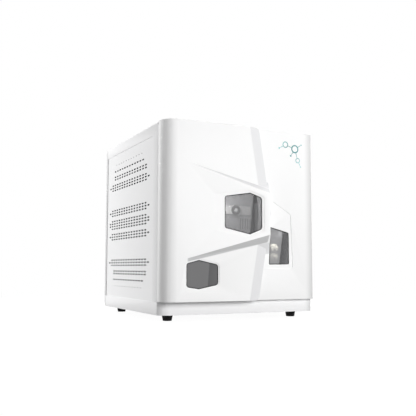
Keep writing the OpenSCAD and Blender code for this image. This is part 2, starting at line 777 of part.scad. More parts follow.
// The plunger rests at the top of its stroke and moves down
module syringe_plunger() color("silver") {
  translate([syringe_x, syringe_y, 0]) {
    translate([0, 0, barrel_z + barrel_h - 16]) cylinder(r = bore_r - run_gap, h = 10);
    translate([0, 0, arm_z]) cylinder(r = 2, h = barrel_h - 2);
    translate([0, 0, arm_z - 5]) cylinder(r = 7, h = 10);
  }
  block([syringe_x - 5 + gap, syringe_y, arm_z - 5], [syringe_x + 5 - gap, pump_face + 14, arm_z + 5]);
}

module valve_block() color("ivory") difference() {
  block([syringe_x - 16, syringe_y - 12, valve_z], [syringe_x + 16, pump_face, valve_z + 24]);
  along_y(syringe_x, syringe_y - 13, valve_z + 12, 4 + run_gap, 14);
}

// The rotor's handwheel has a pointer that shows the chosen port
module valve_rotor() color("black") {
  along_y(syringe_x, syringe_y - 12 - gap, valve_z + 12, 4, 12);
  difference() {
    along_y(syringe_x, syringe_y - 20, valve_z + 12, 9, 8 - gap);
    for (a = [0:30:330]) translate([syringe_x, 0, valve_z + 12]) rotate([0, a, 0])
      along_y(9.6, syringe_y - 21, 0, 1.3, 10);
  }
}

// Tube pump: four rollers on a rotor squeeze a tube against the head

roller_r = 6;
roller_orbit = 19;
hose_r = 3.2;
hose_ring = roller_orbit + roller_r + gap + hose_r;
ring_r = hose_ring + hose_r + 0.3;
head_front = y0 + 108;
head_back = y0 + 138;

module tube_pump_head() color("lightgray") difference() {
  union() {
    translate([tube_pump_x, 0, tube_pump_z]) slab(head_front, head_back) rounded_square(92, 86, 10);
    along_y(tube_pump_x, head_back, tube_pump_z, 24, bulk_y - head_back);
  }
  along_y(tube_pump_x, head_front - 1, tube_pump_z, ring_r, 23);
  for (s = [-1, 1]) block([tube_pump_x + s * hose_ring - hose_r - 0.3, head_front - 1, tube_pump_z - 50],
    [tube_pump_x + s * hose_ring + hose_r + 0.3, head_front + 22, tube_pump_z]);
  along_y(tube_pump_x, head_front, tube_pump_z, 3 + run_gap, 34);
}

module tube_pump_rotor() color("silver") difference() {
  union() {
    along_y(tube_pump_x, head_front + 0.6, tube_pump_z, roller_orbit + 4, 3);
    along_y(tube_pump_x, head_front + 18, tube_pump_z, roller_orbit + 4, 3);
    along_y(tube_pump_x, head_front + 3, tube_pump_z, 9, 16);
    along_y(tube_pump_x, head_front - 3, tube_pump_z, 3, 36);
    for (a = [45:90:315]) translate([tube_pump_x, 0, tube_pump_z]) rotate([0, a, 0])
      along_y(roller_orbit, head_front + 3, 0, 2, 16);
  }
}

module tube_pump_rollers() color("ivory") for (a = [45:90:315])
  translate([tube_pump_x, 0, tube_pump_z]) rotate([0, a, 0]) difference() {
    along_y(roller_orbit, head_front + 3.8, 0, roller_r, 14);
    along_y(roller_orbit, head_front + 3, 0, 2 + run_gap, 16);
  }

module pump_tube() color("tan") translate([tube_pump_x, head_front + 11, tube_pump_z]) {
  rotate([90, 0, 0]) rotate_extrude(angle = 180) translate([hose_ring, 0]) circle(r = hose_r);
  for (s = [-1, 1]) translate([s * hose_ring, 0, -60]) cylinder(r = hose_r, h = 60);
}

// Glassware on the bulkhead

scrub_x = [across(108) - 34, across(108)];
scrub_z = up(398);
scrub_h = 96;
clip_w = 30;
sep_x = (scrub_x[1] + clip_w / 2 + furnace_x - furnace_w / 2) / 2;
sep_z = up(372);

module gas_liquid_separator() color("lightcyan") translate([sep_x, bulk_y - 22, sep_z]) {
  rotate_extrude() polygon([
    [3, -16], [5, -16], [5, 0], [16, 8], [16, 78], [19, 80], [19, 86], [14, 86], [14, 12], [3, 2]
  ]);
  translate([0, 0, 86]) cylinder(r = 19, h = 8);
  translate([-8, 13, 30]) cube([16, 9, 10]);
}

module scrubber_tubes() color("lightcyan") for (x = scrub_x) translate([x, bulk_y - 18, scrub_z]) {
  cylinder(r = 11, h = scrub_h);
  for (z = [-10, scrub_h]) translate([0, 0, z]) cylinder(r = 13, h = 10);
  for (z = [-20, scrub_h + 10]) translate([0, 0, z]) cylinder(r = 3, h = 10);
}

module scrubber_clips() color("dimgray") for (x = scrub_x, z = [scrub_z + 20, scrub_z + 66]) difference() {
  block([x - clip_w / 2, bulk_y - 20, z], [x + clip_w / 2, bulk_y, z + 10]);
  translate([x, bulk_y - 18, z - 1]) cylinder(r = 11.1, h = 12);
  block([x - 9, bulk_y - 30, z - 1], [x + 9, bulk_y - 18, z + 11]);
}

// Reagent bay

module reagent_pumps() color("darkgray") for (h = reagent_heights) {
  block([partition_at + sheet, y0 + 46, base_z + h - 13], [reagent_x + 14, y0 + 84, base_z + h + 13]);
}

module reagent_pump_heads() color("ivory") for (h = reagent_heights) {
  along_y(reagent_x, y0 + 32, base_z + h, 12.5, 14);
  along_y(reagent_x, y0 + 27, base_z + h, 4, 5);
}

bottle_h = 100;

module reagent_bottles() color("ivory") for (x = bottle_x) translate([x, bottle_y, floor_z])
  rotate_extrude() polygon([
    [0, 0], [bottle_r - 3, 0], [bottle_r, 3], [bottle_r, bottle_h - 14], [bottle_r - 4, bottle_h - 6],
    [13, bottle_h], [13, bottle_h + 16], [0, bottle_h + 16]
  ]);

module bottle_caps() color("royalblue") for (x = bottle_x) translate([x, bottle_y, floor_z + bottle_h + 3]) difference() {
  cylinder(r = 17, h = 17);
  translate([0, 0, -1]) cylinder(r = 13.05, h = 14);
  for (a = [0:20:340]) rotate(a) translate([17.5, 0, -1]) cylinder(r = 1, h = 15);
}

// Electronics behind the bulkhead

shelf_z = up(300);
shelf_x = [across(40), across(40) + 280];
bench_x = across(56);
bench_l = 248;
bench_y = bulk_y + 90;

module detector_shelf() color("silver") {
  block([shelf_x[0], bulk_y + sheet, shelf_z], [shelf_x[1], bulk_y + 150, shelf_z + sheet]);
  for (x = [shelf_x[0], shelf_x[1] - sheet])
    block([x, bulk_y + sheet, shelf_z - 60], [x + sheet, bulk_y + 110, shelf_z]);
}

module detector_bench() color("gray") {
  for (x = [bench_x, bench_x + bench_l - 54])
    block([x, bench_y - 26, shelf_z + sheet], [x + 54, bench_y + 26, shelf_z + 56]);
  translate([bench_x + 54, bench_y, shelf_z + 32]) rotate([0, 90, 0]) cylinder(r = 17, h = bench_l - 108);
}

// The cooler stands in the middle between the bench and the right side
cooler_x = (bench_x + bench_l + right - 3 * sheet) / 2;
cooler_z = up(330);

module gas_cooler() color("lightgray") {
  block([cooler_x - 30, bulk_y + sheet, cooler_z], [cooler_x + 30, bulk_y + 32, cooler_z + 80]);
  for (i = [0:9]) block([cooler_x - 40, bulk_y + 38, cooler_z - 8 + i * 10], [cooler_x + 40, bulk_y + 74, cooler_z - 6 + i * 10]);
  block([cooler_x - 40, bulk_y + 32, cooler_z - 8], [cooler_x + 40, bulk_y + 38, cooler_z + 84]);
}

board_y = bulk_y + sheet + 10;
board_x = [across(60), across(60) + 240];
board_z = [base_z + 60, base_z + 220];

module control_board() color("seagreen") difference() {
  union() {
    block([board_x[0], board_y, board_z[0]], [board_x[1], board_y + 1.6, board_z[1]]);
    for (x = board_x, z = board_z)
      along_y(x + (x == board_x[0] ? 6 : -6), bulk_y + sheet, z + (z == board_z[0] ? 6 : -6), 4, 10);
  }
}

module board_parts() color("dimgray") translate([board_x[0], board_y + 1.6, board_z[0]]) {
  for (i = [0:4]) translate([22 + i * 42, 0, 132]) cube([28, 14, 16]);
  for (i = [0:2]) translate([30 + i * 60, 0, 84]) cube([24, 3, 24]);
  for (i = [0:5]) translate([26 + i * 34, 0, 40]) rotate([-90, 0, 0]) cylinder(r = 7, h = 22);
  translate([20, 0, 8]) cube([190, 11, 10]);
}

psu = [[right - 160, rear_y - 230, floor_z], [right - 50, rear_y - 60, floor_z + 62]];

module power_supply() color("silver") difference() {
  block(psu[0], psu[1]);
  block(psu[0] + [sheet, sheet, -1], psu[1] - [sheet, sheet, sheet]);
  for (i = [0:8], j = [0:3]) translate([psu[0][0] + 22 + j * 22, psu[0][1] + 21 + i * 16, psu[1][2] - 2])
    linear_extrude(4) slot(16, 5);
}

// Rear fan, inlets and fittings

module exhaust_fan() color("black") difference() {
  translate([fan_x, 0, fan_z]) slab(rear_y - sheet - fan_t, rear_y - sheet) rounded_square(fan_w, fan_w, 6);
  difference() {
    along_y(fan_x, rear_y - sheet - fan_t - 1, fan_z, rear_opening_r, fan_t + 2);
    along_y(fan_x, rear_y - sheet - 5, fan_z, 19, 5);
    for (a = [45:90:315]) translate([fan_x, 0, fan_z]) rotate([0, a, 0])
      block([10, rear_y - sheet - 4, -2.5], [rear_opening_r + 2, rear_y - sheet, 2.5]);
  }
  for (x = [-1, 1], z = [-1, 1])
    along_y(fan_x + x * fan_pitch, rear_y - sheet - fan_t - 1, fan_z + z * fan_pitch, 2, fan_t + 2);
  along_y(fan_x, rear_y - sheet - 6, fan_z, 3 + run_gap, 7);
}

module fan_rotor() color("dimgray") {
  along_y(fan_x, rear_y - sheet - fan_t + 1, fan_z, 19, fan_t - 7);
  along_y(fan_x, rear_y - sheet - 8, fan_z, 3, 7);
  intersection() {
    along_y(fan_x, rear_y - sheet - fan_t + 1, fan_z, rear_opening_r - 1.2, fan_t - 7);
    for (a = [0:blades - 1]) translate([fan_x, rear_y - sheet - fan_t / 2 - 2.5, fan_z]) rotate([0, a * 360 / blades, 0])
      rotate([38, 0, 0]) translate([14, -14, -1]) cube([rear_opening_r, 28, 2]);
  }
}

module fan_guard() color("silver") {
  for (r = [14:11:58]) translate([fan_x, rear_y + 2.4, fan_z]) rotate([90, 0, 0])
    rotate_extrude() translate([r, 0]) square([1.8, 1.8], center = true);
  for (a = [45:90:315]) translate([fan_x, rear_y + 1.2, fan_z]) rotate([0, a, 0])
    translate([12, -0.8, -0.8]) cube([fan_pitch * sqrt(2) - 16, 1.6, 1.6]);
  for (x = [-1, 1], z = [-1, 1]) difference() {
    along_y(fan_x + x * fan_pitch, rear_y, fan_z + z * fan_pitch, 5, 1.5);
    along_y(fan_x + x * fan_pitch, rear_y - 1, fan_z + z * fan_pitch, 2, 4);
  }
}

rocker = [13, 19];

module mains_inlet() color("black") difference() {
  union() {
    translate([inlet_x, 0, inlet_z]) slab(rear_y, rear_y + 3) rounded_square(inlet_size[0] + 14, inlet_size[1] + 8, 4);
    block([inlet_x - inlet_size[0] / 2 + 0.2, rear_y - 30, inlet_z - inlet_size[1] / 2 + 0.2],
      [inlet_x + inlet_size[0] / 2 - 0.2, rear_y, inlet_z + inlet_size[1] / 2 - 0.2]);
  }
  // Socket with room for three blades, and the well of the rocker
  translate([inlet_x - 12, 0, inlet_z]) slab(rear_y - 18, rear_y + 4) rounded_square(26, 18, 3);
  translate([inlet_x + 19, 0, inlet_z]) slab(rear_y - 12, rear_y + 4) square([rocker[0] + 1, rocker[1] + 1], center = true);
  translate([inlet_x + 19, rear_y - 4, inlet_z]) rotate([0, 90, 0]) cylinder(r = 1.2 + run_gap, h = rocker[0] + 3.4, center = true);
}

module mains_switch() color("firebrick") translate([inlet_x + 19, rear_y - 4, inlet_z]) rotate([7, 0, 0]) {
  translate([-rocker[0] / 2, 0, 0]) rotate([90, 0, 90]) linear_extrude(rocker[0])
    polygon([[-3, -8], [5, -8.6], [3.4, 0], [5, 8.6], [-3, 8], [-5, 0]]);
  rotate([0, 90, 0]) cylinder(r = 1.2, h = rocker[0] + 3, center = true);
}

module gas_fittings() color("goldenrod") for (x = fitting_x) translate([x, rear_y, fitting_z]) rotate([-90, 0, 0])
  difference() {
    union() {
      cylinder(r = gas_tube_r + 5.5, h = 6, $fn = 6);
      cylinder(r = gas_tube_r + 3.6, h = rear_reach);
      translate([0, 0, -14]) cylinder(r = gas_tube_r + 3 - run_gap, h = 14 + eps);
    }
    translate([0, 0, rear_reach - 14]) cylinder(r = gas_tube_r + run_gap, h = 15);
    translate([0, 0, -20]) cylinder(r = gas_tube_r - 1, h = 40);
  }

module drain_spigot() color("ivory") translate([drain_x, rear_y, drain_z]) rotate([-90, 0, 0]) difference() {
  union() {
    cylinder(r = 8, h = 3);
    cylinder(r = 4, h = rear_reach - 1);
    translate([0, 0, -10]) cylinder(r = 5 - run_gap, h = 10 + eps);
  }
  translate([0, 0, -20]) cylinder(r = 2.5, h = 50);
}

base_tray();
front_skirt();
wrap_cover();
left_vent_panel();
right_vent_panel();
rear_panel();
front_frame();
bulkhead();
partition();
hinge_arms();
hinge_pins();
front_panel();
reagent_window();
catch_magnets();
rubber_feet();
foot_screws();
rear_screws();
door_shell();
furnace_window();
pump_window();
door_hinge_lugs();
strike_discs();
furnace_housing();
furnace_clamp();
sight_port_ring();
sight_port_lens();
combustion_tube();
catalyst_bed();
injection_head();
head_bracket();
tube_nut();
syringe_pump_body();
syringe_barrel();
syringe_plunger();
valve_block();
valve_rotor();
tube_pump_head();
tube_pump_rotor();
tube_pump_rollers();
pump_tube();
gas_liquid_separator();
scrubber_tubes();
scrubber_clips();
reagent_pumps();
reagent_pump_heads();
reagent_bottles();
bottle_caps();
detector_bench();
detector_shelf();
gas_cooler();
control_board();
board_parts();
power_supply();
exhaust_fan();
fan_rotor();
fan_guard();
mains_inlet();
mains_switch();
gas_fittings();
drain_spigot();
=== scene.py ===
"""Finishes and fine shapes for a bench carbon analyzer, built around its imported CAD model."""

import json
import math

import bmesh
import bpy
import numpy as np
from mathutils import Matrix, Vector

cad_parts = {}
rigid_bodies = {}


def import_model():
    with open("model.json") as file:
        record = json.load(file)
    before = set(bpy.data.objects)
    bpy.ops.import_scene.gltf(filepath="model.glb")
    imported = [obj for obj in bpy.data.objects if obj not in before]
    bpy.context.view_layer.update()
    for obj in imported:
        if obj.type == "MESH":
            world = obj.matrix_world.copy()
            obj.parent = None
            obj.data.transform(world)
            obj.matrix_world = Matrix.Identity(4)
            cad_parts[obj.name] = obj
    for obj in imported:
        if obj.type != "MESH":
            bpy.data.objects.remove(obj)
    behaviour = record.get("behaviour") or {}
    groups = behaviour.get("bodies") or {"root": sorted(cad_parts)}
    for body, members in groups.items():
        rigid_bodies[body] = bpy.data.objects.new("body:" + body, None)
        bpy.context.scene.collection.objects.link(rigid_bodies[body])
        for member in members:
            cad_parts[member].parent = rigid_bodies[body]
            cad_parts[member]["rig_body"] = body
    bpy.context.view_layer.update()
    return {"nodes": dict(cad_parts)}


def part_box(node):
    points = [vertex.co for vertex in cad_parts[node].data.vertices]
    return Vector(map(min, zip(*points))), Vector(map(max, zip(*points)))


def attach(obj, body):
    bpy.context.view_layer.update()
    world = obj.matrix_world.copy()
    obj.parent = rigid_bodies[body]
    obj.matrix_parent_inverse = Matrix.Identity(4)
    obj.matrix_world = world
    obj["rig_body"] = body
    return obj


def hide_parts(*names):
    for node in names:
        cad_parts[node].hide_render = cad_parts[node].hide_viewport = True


bl_info = {
    "name": "Carbon Analyzer Finishes",
    "version": (1, 0, 0),
    "blender": (4, 5, 0),
    "location": "View3D > Sidebar > Analyzer",
    "description": "Finishes, fine shapes and a studio for a bench carbon analyzer",
    "category": "Object",
}

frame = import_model()
NODES = frame["nodes"]

# Main planes of the cabinet in metres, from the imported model
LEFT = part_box("wrap_cover")[0].x
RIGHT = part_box("wrap_cover")[1].x
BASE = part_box("base_tray")[0].z
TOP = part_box("wrap_cover")[1].z
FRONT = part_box("front_skirt")[0].y
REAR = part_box("wrap_cover")[1].y
DOOR_FACE = FRONT - 0.032
PANEL_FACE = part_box("front_panel")[0].y

# The wedge on the door: its upright start line, its run, and its tilt to 12 mm proud at the end
WEDGE_START = LEFT + 0.066
WEDGE_RUN = 0.262
WEDGE_TILT = math.atan(0.012 / WEDGE_RUN)

# The door's leaning edge: its vertex, its lean per metre above and below that, and its bevel's
# width, measured level instead of across the lean
VERTEX_X = LEFT + 0.3436
VERTEX_Z = BASE + 0.291
LEAN_ABOVE = 0.1566
LEAN_BELOW = 0.1682
BEVEL = 0.037 * 1.012

# Lines across the wedge: height at its start, and fall or rise per metre of run. The line of
# painted shade over the wedge's upper edge widens by RIDGE_SPREAD per metre, and LINE_BLUR is half
# the width over which a line fades.
RIDGE_HEIGHT, RIDGE_FALL, RIDGE_SPREAD = BASE + 0.426, 0.2977, 0.0573
STRIP_TOP, STRIP_TOP_RISE = BASE + 0.1553, 0.2735
STRIP_FOOT, STRIP_FOOT_RISE = BASE + 0.1448, 0.2266
LINE_BLUR = 0.0008

# Openings of the windows in millimetres from the cabinet's lower left corner: x, z, radius
FURNACE_VIEW = (
    (182.6, 243, 7),
    (262.5, 226, 3),
    (302.3, 242, 11),
    (302.3, 334, 11),
    (263.5, 347, 3),
    (182.6, 334, 7),
)
PUMP_VIEW = (
    (67, 77.5, 8),
    (104.7, 71.5, 3),
    (164.4, 83, 9),
    (164.4, 139.5, 9),
    (105, 152, 3),
    (67, 142.5, 8),
)
REAGENT_VIEW = ((341.4, 140, 3), (411.5, 141, 4), (411.5, 235.5, 5), (347, 251.5, 2))

# Gasket bead in millimetres: depth of its middle, how far it stands forward of that, the share
# of this that it reaches back, and its gap to the opening's rim
BEAD_DEPTH, BEAD_HEIGHT, BEAD_BACK, BEAD_GAP = 2.25, 0.7, 0.2, 0.02

# Print on the fixed panel in metres: x, z, radius and, for rings, width
RINGS = (
    (0.152, 0.522, 0.0085, 0.0026),
    (0.186, 0.511, 0.011, 0.0036),
    (0.196, 0.476, 0.0068, 0.0022),
)
DOTS = (
    (0.130, 0.510, 0.0026),
    (0.209, 0.525, 0.0022),
    (0.171, 0.489, 0.0028),
    (0.206, 0.457, 0.002),
)
# Bars between marks, counted through the rings and then the dots, and their gaps to both kinds
LINKS = ((0, 1), (1, 2), (3, 0), (1, 4), (1, 5), (2, 6))
RING_GAP, DOT_GAP, BAR_WIDTH = 0.002, 0.0016, 0.0018
# How far the ink stands off the panel, how far it reaches in, and a dot's inner radius
INK, INK_ROOT, PINHOLE = 0.00012, 0.00002, 1e-6
# Where the ink is darkest
PRINT_X, PRINT_Z = 0.176, 0.508

# Camera solved from the photograph's straight edges: metres, degrees and millimetres
CAMERA_PLACE = (-0.88266, -1.86263, 0.14934)
CAMERA_TURN = (95.3868, -0.07701, -25.741)
CAMERA_LENS = 54.589

BLACK = (0.0, 0.0, 0.0)
WHITE = (1.0, 1.0, 1.0)
# The floor's white near the object, over 1 because it is mixed with the floor's own shading
GLARE = (1.42, 1.42, 1.42)
FULL_TURN = 2 * math.pi
# Corners this near are one in a new piece and in a CAD mesh, and faces within NEARLY_FLAT are one
SAME_CORNER, SAME_CAD_CORNER = 1e-7, 1e-6
NEARLY_FLAT = math.radians(0.6)


# ---------------------------------------------------------------- shader maths


class Term:
    """A socket that Python arithmetic works on, so 1 - mask * 2 adds its own Math nodes."""

    def __init__(self, shading, socket):
        self.shading = shading
        self.socket = socket

    def __add__(self, other):
        return self.shading.maths("ADD", self, other)

    __radd__ = __add__

    def __sub__(self, other):
        return self.shading.maths("SUBTRACT", self, other)

    def __rsub__(self, other):
        return self.shading.maths("SUBTRACT", other, self)

    def __mul__(self, other):
        return self.shading.maths("MULTIPLY", self, other)

    __rmul__ = __mul__

    def __gt__(self, other):
        return self.shading.maths("GREATER_THAN", self, other)

    def __lt__(self, other):
        return self.shading.maths("LESS_THAN", self, other)

    def __abs__(self):
        return self.shading.maths("ABSOLUTE", self)

    def __mod__(self, other):
        return self.shading.maths("FLOORED_MODULO", self, other)


class Shading:
    """The emptied node tree of a material or world, and what adds nodes to it."""

    def __init__(self, owner):
        owner.use_nodes = True
        self.tree = owner.node_tree
        self.tree.nodes.clear()

    def node(self, kind, settings=None, values=None):
        """One node: its settings are set first, then the values or links of its sockets."""
        made = self.tree.nodes.new(kind)
        for key, value in (settings or {}).items():
            setattr(made, key, value)
        for key, value in (values or {}).items():
            self.connect(made.inputs[key], value)
        return made

    def connect(self, socket, value):
        """Links a term or socket, or sets a plain number or colour."""
        if isinstance(value, Term):
            self.tree.links.new(value.socket, socket)
        elif isinstance(value, bpy.types.NodeSocket):
            self.tree.links.new(value, socket)
        elif isinstance(value, (tuple, list)) and socket.type == "RGBA" and len(value) == 3:
            socket.default_value = (*value, 1.0)
        else:
            socket.default_value = value

    def maths(self, operation, *values):
        """The result of one Math node."""
        made = self.node("ShaderNodeMath", {"operation": operation})
        for socket, value in zip(made.inputs, values):
            self.connect(socket, value)
        return Term(self, made.outputs[0])

    def seen(self):
        """1 for camera, glossy and transmission rays, and 0 for the rays that light the object."""
        path = self.node("ShaderNodeLightPath")
        kinds = ("Is Camera Ray", "Is Glossy Ray", "Is Transmission Ray")
        camera, glossy, through = (Term(self, path.outputs[kind]) for kind in kinds)
        return self.maths("MINIMUM", camera + glossy + through, 1.0)

    def blend(self, factor, first, second):
        """The shader between two others."""
        values = {0: factor, 1: first.outputs[0], 2: second.outputs[0]}
        return self.node("ShaderNodeMixShader", {}, values).outputs[0]


class Finish(Shading):
    """A node material: one Principled shader and what feeds it, read in Object coordinates."""

    def __init__(self, name, **sockets):
        self.material = bpy.data.materials.new(name)
        super().__init__(self.material)
        self.shader = self.node("ShaderNodeBsdfPrincipled")
        self.output = self.node(
            "ShaderNodeOutputMaterial", {}, {"Surface": self.shader.outputs[0]}
        )
        for key, value in sockets.items():
            self.feed(key.replace("_", " "), value)
        self._place = None

    def feed(self, name, value):
        """Sets or links one of the Principled shader's sockets."""
        self.connect(self.shader.inputs[name], value)

    def step(self, value, low, high):
        """0 below low, 1 above high, a smooth ramp between."""
        made = self.node(
            "ShaderNodeMapRange",
            {"interpolation_type": "SMOOTHSTEP"},
            {"Value": value, "From Min": low, "From Max": high},
        )
        return Term(self, made.outputs[0])

    def place(self):
        """X, Y and Z of the point on the object, in metres."""
        if self._place is None:
            coordinates = self.node("ShaderNodeTexCoord")
            split = self.node("ShaderNodeSeparateXYZ", {}, {0: coordinates.outputs["Object"]})
            self._place = (coordinates.outputs["Object"], [Term(self, s) for s in split.outputs])
        return self._place[1]

    def noise(self, scale, detail=2.0, stretch=(1.0, 1.0, 1.0), roughness=0.5):
        """Noise from 0 to 1, 1/scale metres across and longer on an axis of small stretch."""
        self.place()
        mapping = self.node("ShaderNodeMapping", {}, {"Vector": self._place[0], "Scale": stretch})
        values = {"Scale": scale, "Detail": detail, "Roughness": roughness}
        made = self.node("ShaderNodeTexNoise", {}, {"Vector": mapping.outputs[0], **values})
        return Term(self, made.outputs[0])

    def cells(self, scale):
        """Distance to the nearest of points about 1/scale metres apart, and its own colour."""
        self.place()
        made = self.node("ShaderNodeTexVoronoi", {}, {"Vector": self._place[0], "Scale": scale})
        return Term(self, made.outputs["Distance"]), made.outputs["Color"]

    def mix(self, factor, first, second):
        """A colour between first and second."""
        made = self.node("ShaderNodeMix", {"data_type": "RGBA", "blend_type": "MIX"})
        self.connect(made.inputs[0], factor)
        self.connect(made.inputs[6], first)
        self.connect(made.inputs[7], second)
        return made.outputs[2]

    def relief(self, height, distance):
        """Feeds a bump to the shader's normal: height from 0 to 1 spans distance in metres."""
        values = {"Height": height, "Distance": distance, "Strength": 1.0}
        self.feed("Normal", self.node("ShaderNodeBump", {}, values).outputs[0])


def tint(colour, factor):
    """A colour made lighter or darker."""
    return tuple(min(1.0, c * factor) for c in colour)


# -------------------------------------------------------------------- finishes


def powder_coat(name, colour, grain=900, painted_slot_shade=0, painted_fold_shade=0.0):
    """Sprayed powder paint: a fine orange peel and a slightly uneven gloss.

    With a depth given, what lies nearer the middle than that in metres is painted near-black,
    as painted shade in and behind the slots.
    With a share given for the folds, the paint is darkened by that share at the rear folds and the
    skirt's right corner, as painted shade.
    """
    f = Finish(name, IOR=1.48)
    peel = f.noise(grain, 3.0)
    cloud = f.noise(9, 2.0)
    shade = f.mix(cloud, tint(colour, 0.985), tint(colour, 1.01))
    if painted_slot_shade:
        # Painted shade: near-black wherever the point lies inside the outer face
        shade = f.mix(abs(f.place()[0]) < painted_slot_shade, shade, (0.02, 0.02, 0.021))
    if painted_fold_shade:
        x, y, _ = f.place()
        # Painted shade: darker towards the rear folds and towards the skirt's right corner
        rear = f.step(y, REAR - 0.022, REAR - 0.006)
        right = f.step(x, RIGHT - 0.03, RIGHT) * f.step(y, FRONT + 0.03, FRONT + 0.018)
        shade = f.mix((rear + right) * painted_fold_shade, shade, BLACK)
    f.feed("Base Color", shade)
    f.feed("Roughness", 0.4 + peel * 0.08)
    f.relief(peel, 0.00006)
    return f.material


def door_plastic(name, colour, bevel_shade_grey, accent):
    """Satin moulded plastic, with the leaning bevel painted a touch greyer as shade.

    A grey line of painted shade widens along the wedge's upper edge, and a grey strip lies under
    its lower.
    """
    f = Finish(name, IOR=1.5, Coat_Weight=0.25, Coat_Roughness=0.12)
    x, y, z = f.place()
    sink = f.noise(14, 1.0)
    texture = f.noise(2600, 2.0)
    # How far a point lies right of the line where the bevel starts, which leans to both sides of
    # the vertex; the bevel right of it is painted greyer as shade
    rise = z - VERTEX_Z
    lean = f.maths("MAXIMUM", rise * LEAN_ABOVE, rise * -LEAN_BELOW)
    beyond = x + lean - (VERTEX_X - BEVEL)
    flat = f.step(y, DOOR_FACE - 0.0001, DOOR_FACE + 0.0012)
    bevel_shade_mask = f.step(beyond, -0.0015, 0.0015) * flat
    plain = f.mix(sink, tint(colour, 0.992), tint(colour, 1.006))
    # Painted shade: the recessed bevel right of that line is greyer than the face
    shade = f.mix(bevel_shade_mask, plain, tint(bevel_shade_grey, 0.94))
    # Heights over the wedge's upper line, and inside the lines on both sides of the strip
    run = x - WEDGE_START
    front = f.step(y, DOOR_FACE + 0.016, DOOR_FACE + 0.013)
    over = z + run * RIDGE_FALL - RIDGE_HEIGHT
    under = run * RIDGE_SPREAD - over
    ridge_shade = f.step(over, -LINE_BLUR, LINE_BLUR) * f.step(under, -LINE_BLUR, 2 * LINE_BLUR)
    # Painted shade: a grey line along the wedge's upper edge, on the front only
    shade = f.mix(ridge_shade * front * 0.9, shade, tint(accent, 1.3))
    below = STRIP_TOP + run * STRIP_TOP_RISE - z
    above = z - STRIP_FOOT - run * STRIP_FOOT_RISE
    strip = f.step(below, -LINE_BLUR, 0.0012) * f.step(above, -0.0006, 0.0034)
    ends = f.step(run, 0.001, 0.008) * f.step(run, WEDGE_RUN, WEDGE_RUN - 0.006)
    # A grey strip is painted under the wedge's lower line, fading in at both ends
    f.feed("Base Color", f.mix(strip * ends * front, shade, accent))
    f.feed("Roughness", 0.27 + texture * 0.05)
    f.relief(texture, 0.00001)
    return f.material


def moulded(name, colour, rough=0.3, coat=0.2, corner=0.0):
    """Satin moulded plastic with faint sink marks and a fine texture.

    With corner, it is painted darker by that share towards the rounded right edge of the front,
    as painted shade.
    """
    f = Finish(name, IOR=1.5, Coat_Weight=coat, Coat_Roughness=0.12)
    sink = f.noise(14, 1.0)
    texture = f.noise(2600, 2.0)
    shade = f.mix(sink, tint(colour, 0.992), tint(colour, 1.006))
    if corner:
        x, y, _ = f.place()
        # Painted shade: darker towards the rounded right edge of the front
        near = f.step(x, RIGHT - 0.034, RIGHT + 0.004) * f.step(y, FRONT + 0.012, FRONT)
        shade = f.mix(near * corner, shade, BLACK)
    f.feed("Base Color", shade)
    f.feed("Roughness", rough - 0.02 + texture * 0.05)
    f.relief(texture, 0.00001)
    return f.material


def pane_with_painted_reflection(name, light, dark, edge, lean, alpha):
    """Grey acrylic with a broad painted reflection, lighter left of a leaning line through edge =
    (x, z).
    """
    f = Finish(name, IOR=1.49, Roughness=0.08, Coat_Weight=0.4, Coat_Roughness=0.03)
    x, _, z = f.place()
    across = x - (z - edge[1]) * lean - edge[0]
    haze = f.noise(26, 2.0)
    # Painted reflection: light left of the leaning line, and partly light again farther right
    side = f.step(across, -0.0015, 0.0015)
    painted_reflection_fade = f.step(across, 0.0, 0.05)
    shade = f.mix(side, light, dark)
    shade = f.mix(painted_reflection_fade * 0.6, shade, light)
    f.feed("Base Color", f.mix(haze * 0.25, shade, tint(light, 0.8)))
    f.feed("Alpha", alpha)
    return f.material


def coated_sheet(name, colour):
    """Light grey coated sheet inside the cabinet, with level rolling marks."""
    f = Finish(name, Metallic=0.2)
    roll = f.noise(60, 2.0, (1.0, 1.0, 12.0))
    f.feed("Base Color", f.mix(roll, tint(colour, 0.94), tint(colour, 1.04)))
    f.feed("Roughness", 0.42 + roll * 0.12)
    f.relief(roll, 0.00004)
    return f.material


def brushed(name, colour, stretch, rough=0.3):
    """Brushed metal, with fine scratches along the axis of small stretch."""
    f = Finish(name, Metallic=1.0)
    line = f.noise(420, 3.0, stretch)
    cloud = f.noise(22, 2.0)
    f.feed("Base Color", f.mix(line, tint(colour, 0.86), tint(colour, 1.06)))
    f.feed("Roughness", rough + line * 0.14 + cloud * 0.05)
    f.relief(line, 0.00002)
    return f.material


def clear_glass(name, colour, alpha=0.3):
    """Drawn glass: clear, with faint draw lines."""
    f = Finish(name, IOR=1.47, Coat_Weight=0.6, Coat_Roughness=0.02)
    draw = f.noise(150, 1.0, (1.0, 1.0, 0.05))
    f.feed("Base Color", colour)
    f.feed("Roughness", 0.03 + draw * 0.05)
    f.feed("Alpha", alpha + draw * 0.08)
    return f.material


def soft_rubber(name, colour, rough=0.75):
    """Moulded rubber with a dusty bloom."""
    f = Finish(name, Specular_IOR_Level=0.25)
    bloom = f.noise(240, 3.0)
    f.feed("Base Color", f.mix(bloom, colour, tuple(c * 1.4 + 0.004 for c in colour)))
    f.feed("Roughness", rough + bloom * 0.15)
    f.relief(bloom, 0.00008)
    return f.material


def felt(name, colour):
    """Needled felt: short fibres in every direction. Its only use is the dark sheet of painted
    shade behind the slots.
    """
    f = Finish(name, Roughness=0.95, Specular_IOR_Level=0.1)
    fibre = f.noise(900, 4.0, (1.0, 0.4, 1.0), 0.7)
    f.feed("Base Color", f.mix(fibre, tint(colour, 0.6), tint(colour, 1.6)))
    f.relief(fibre, 0.0004)
    return f.material


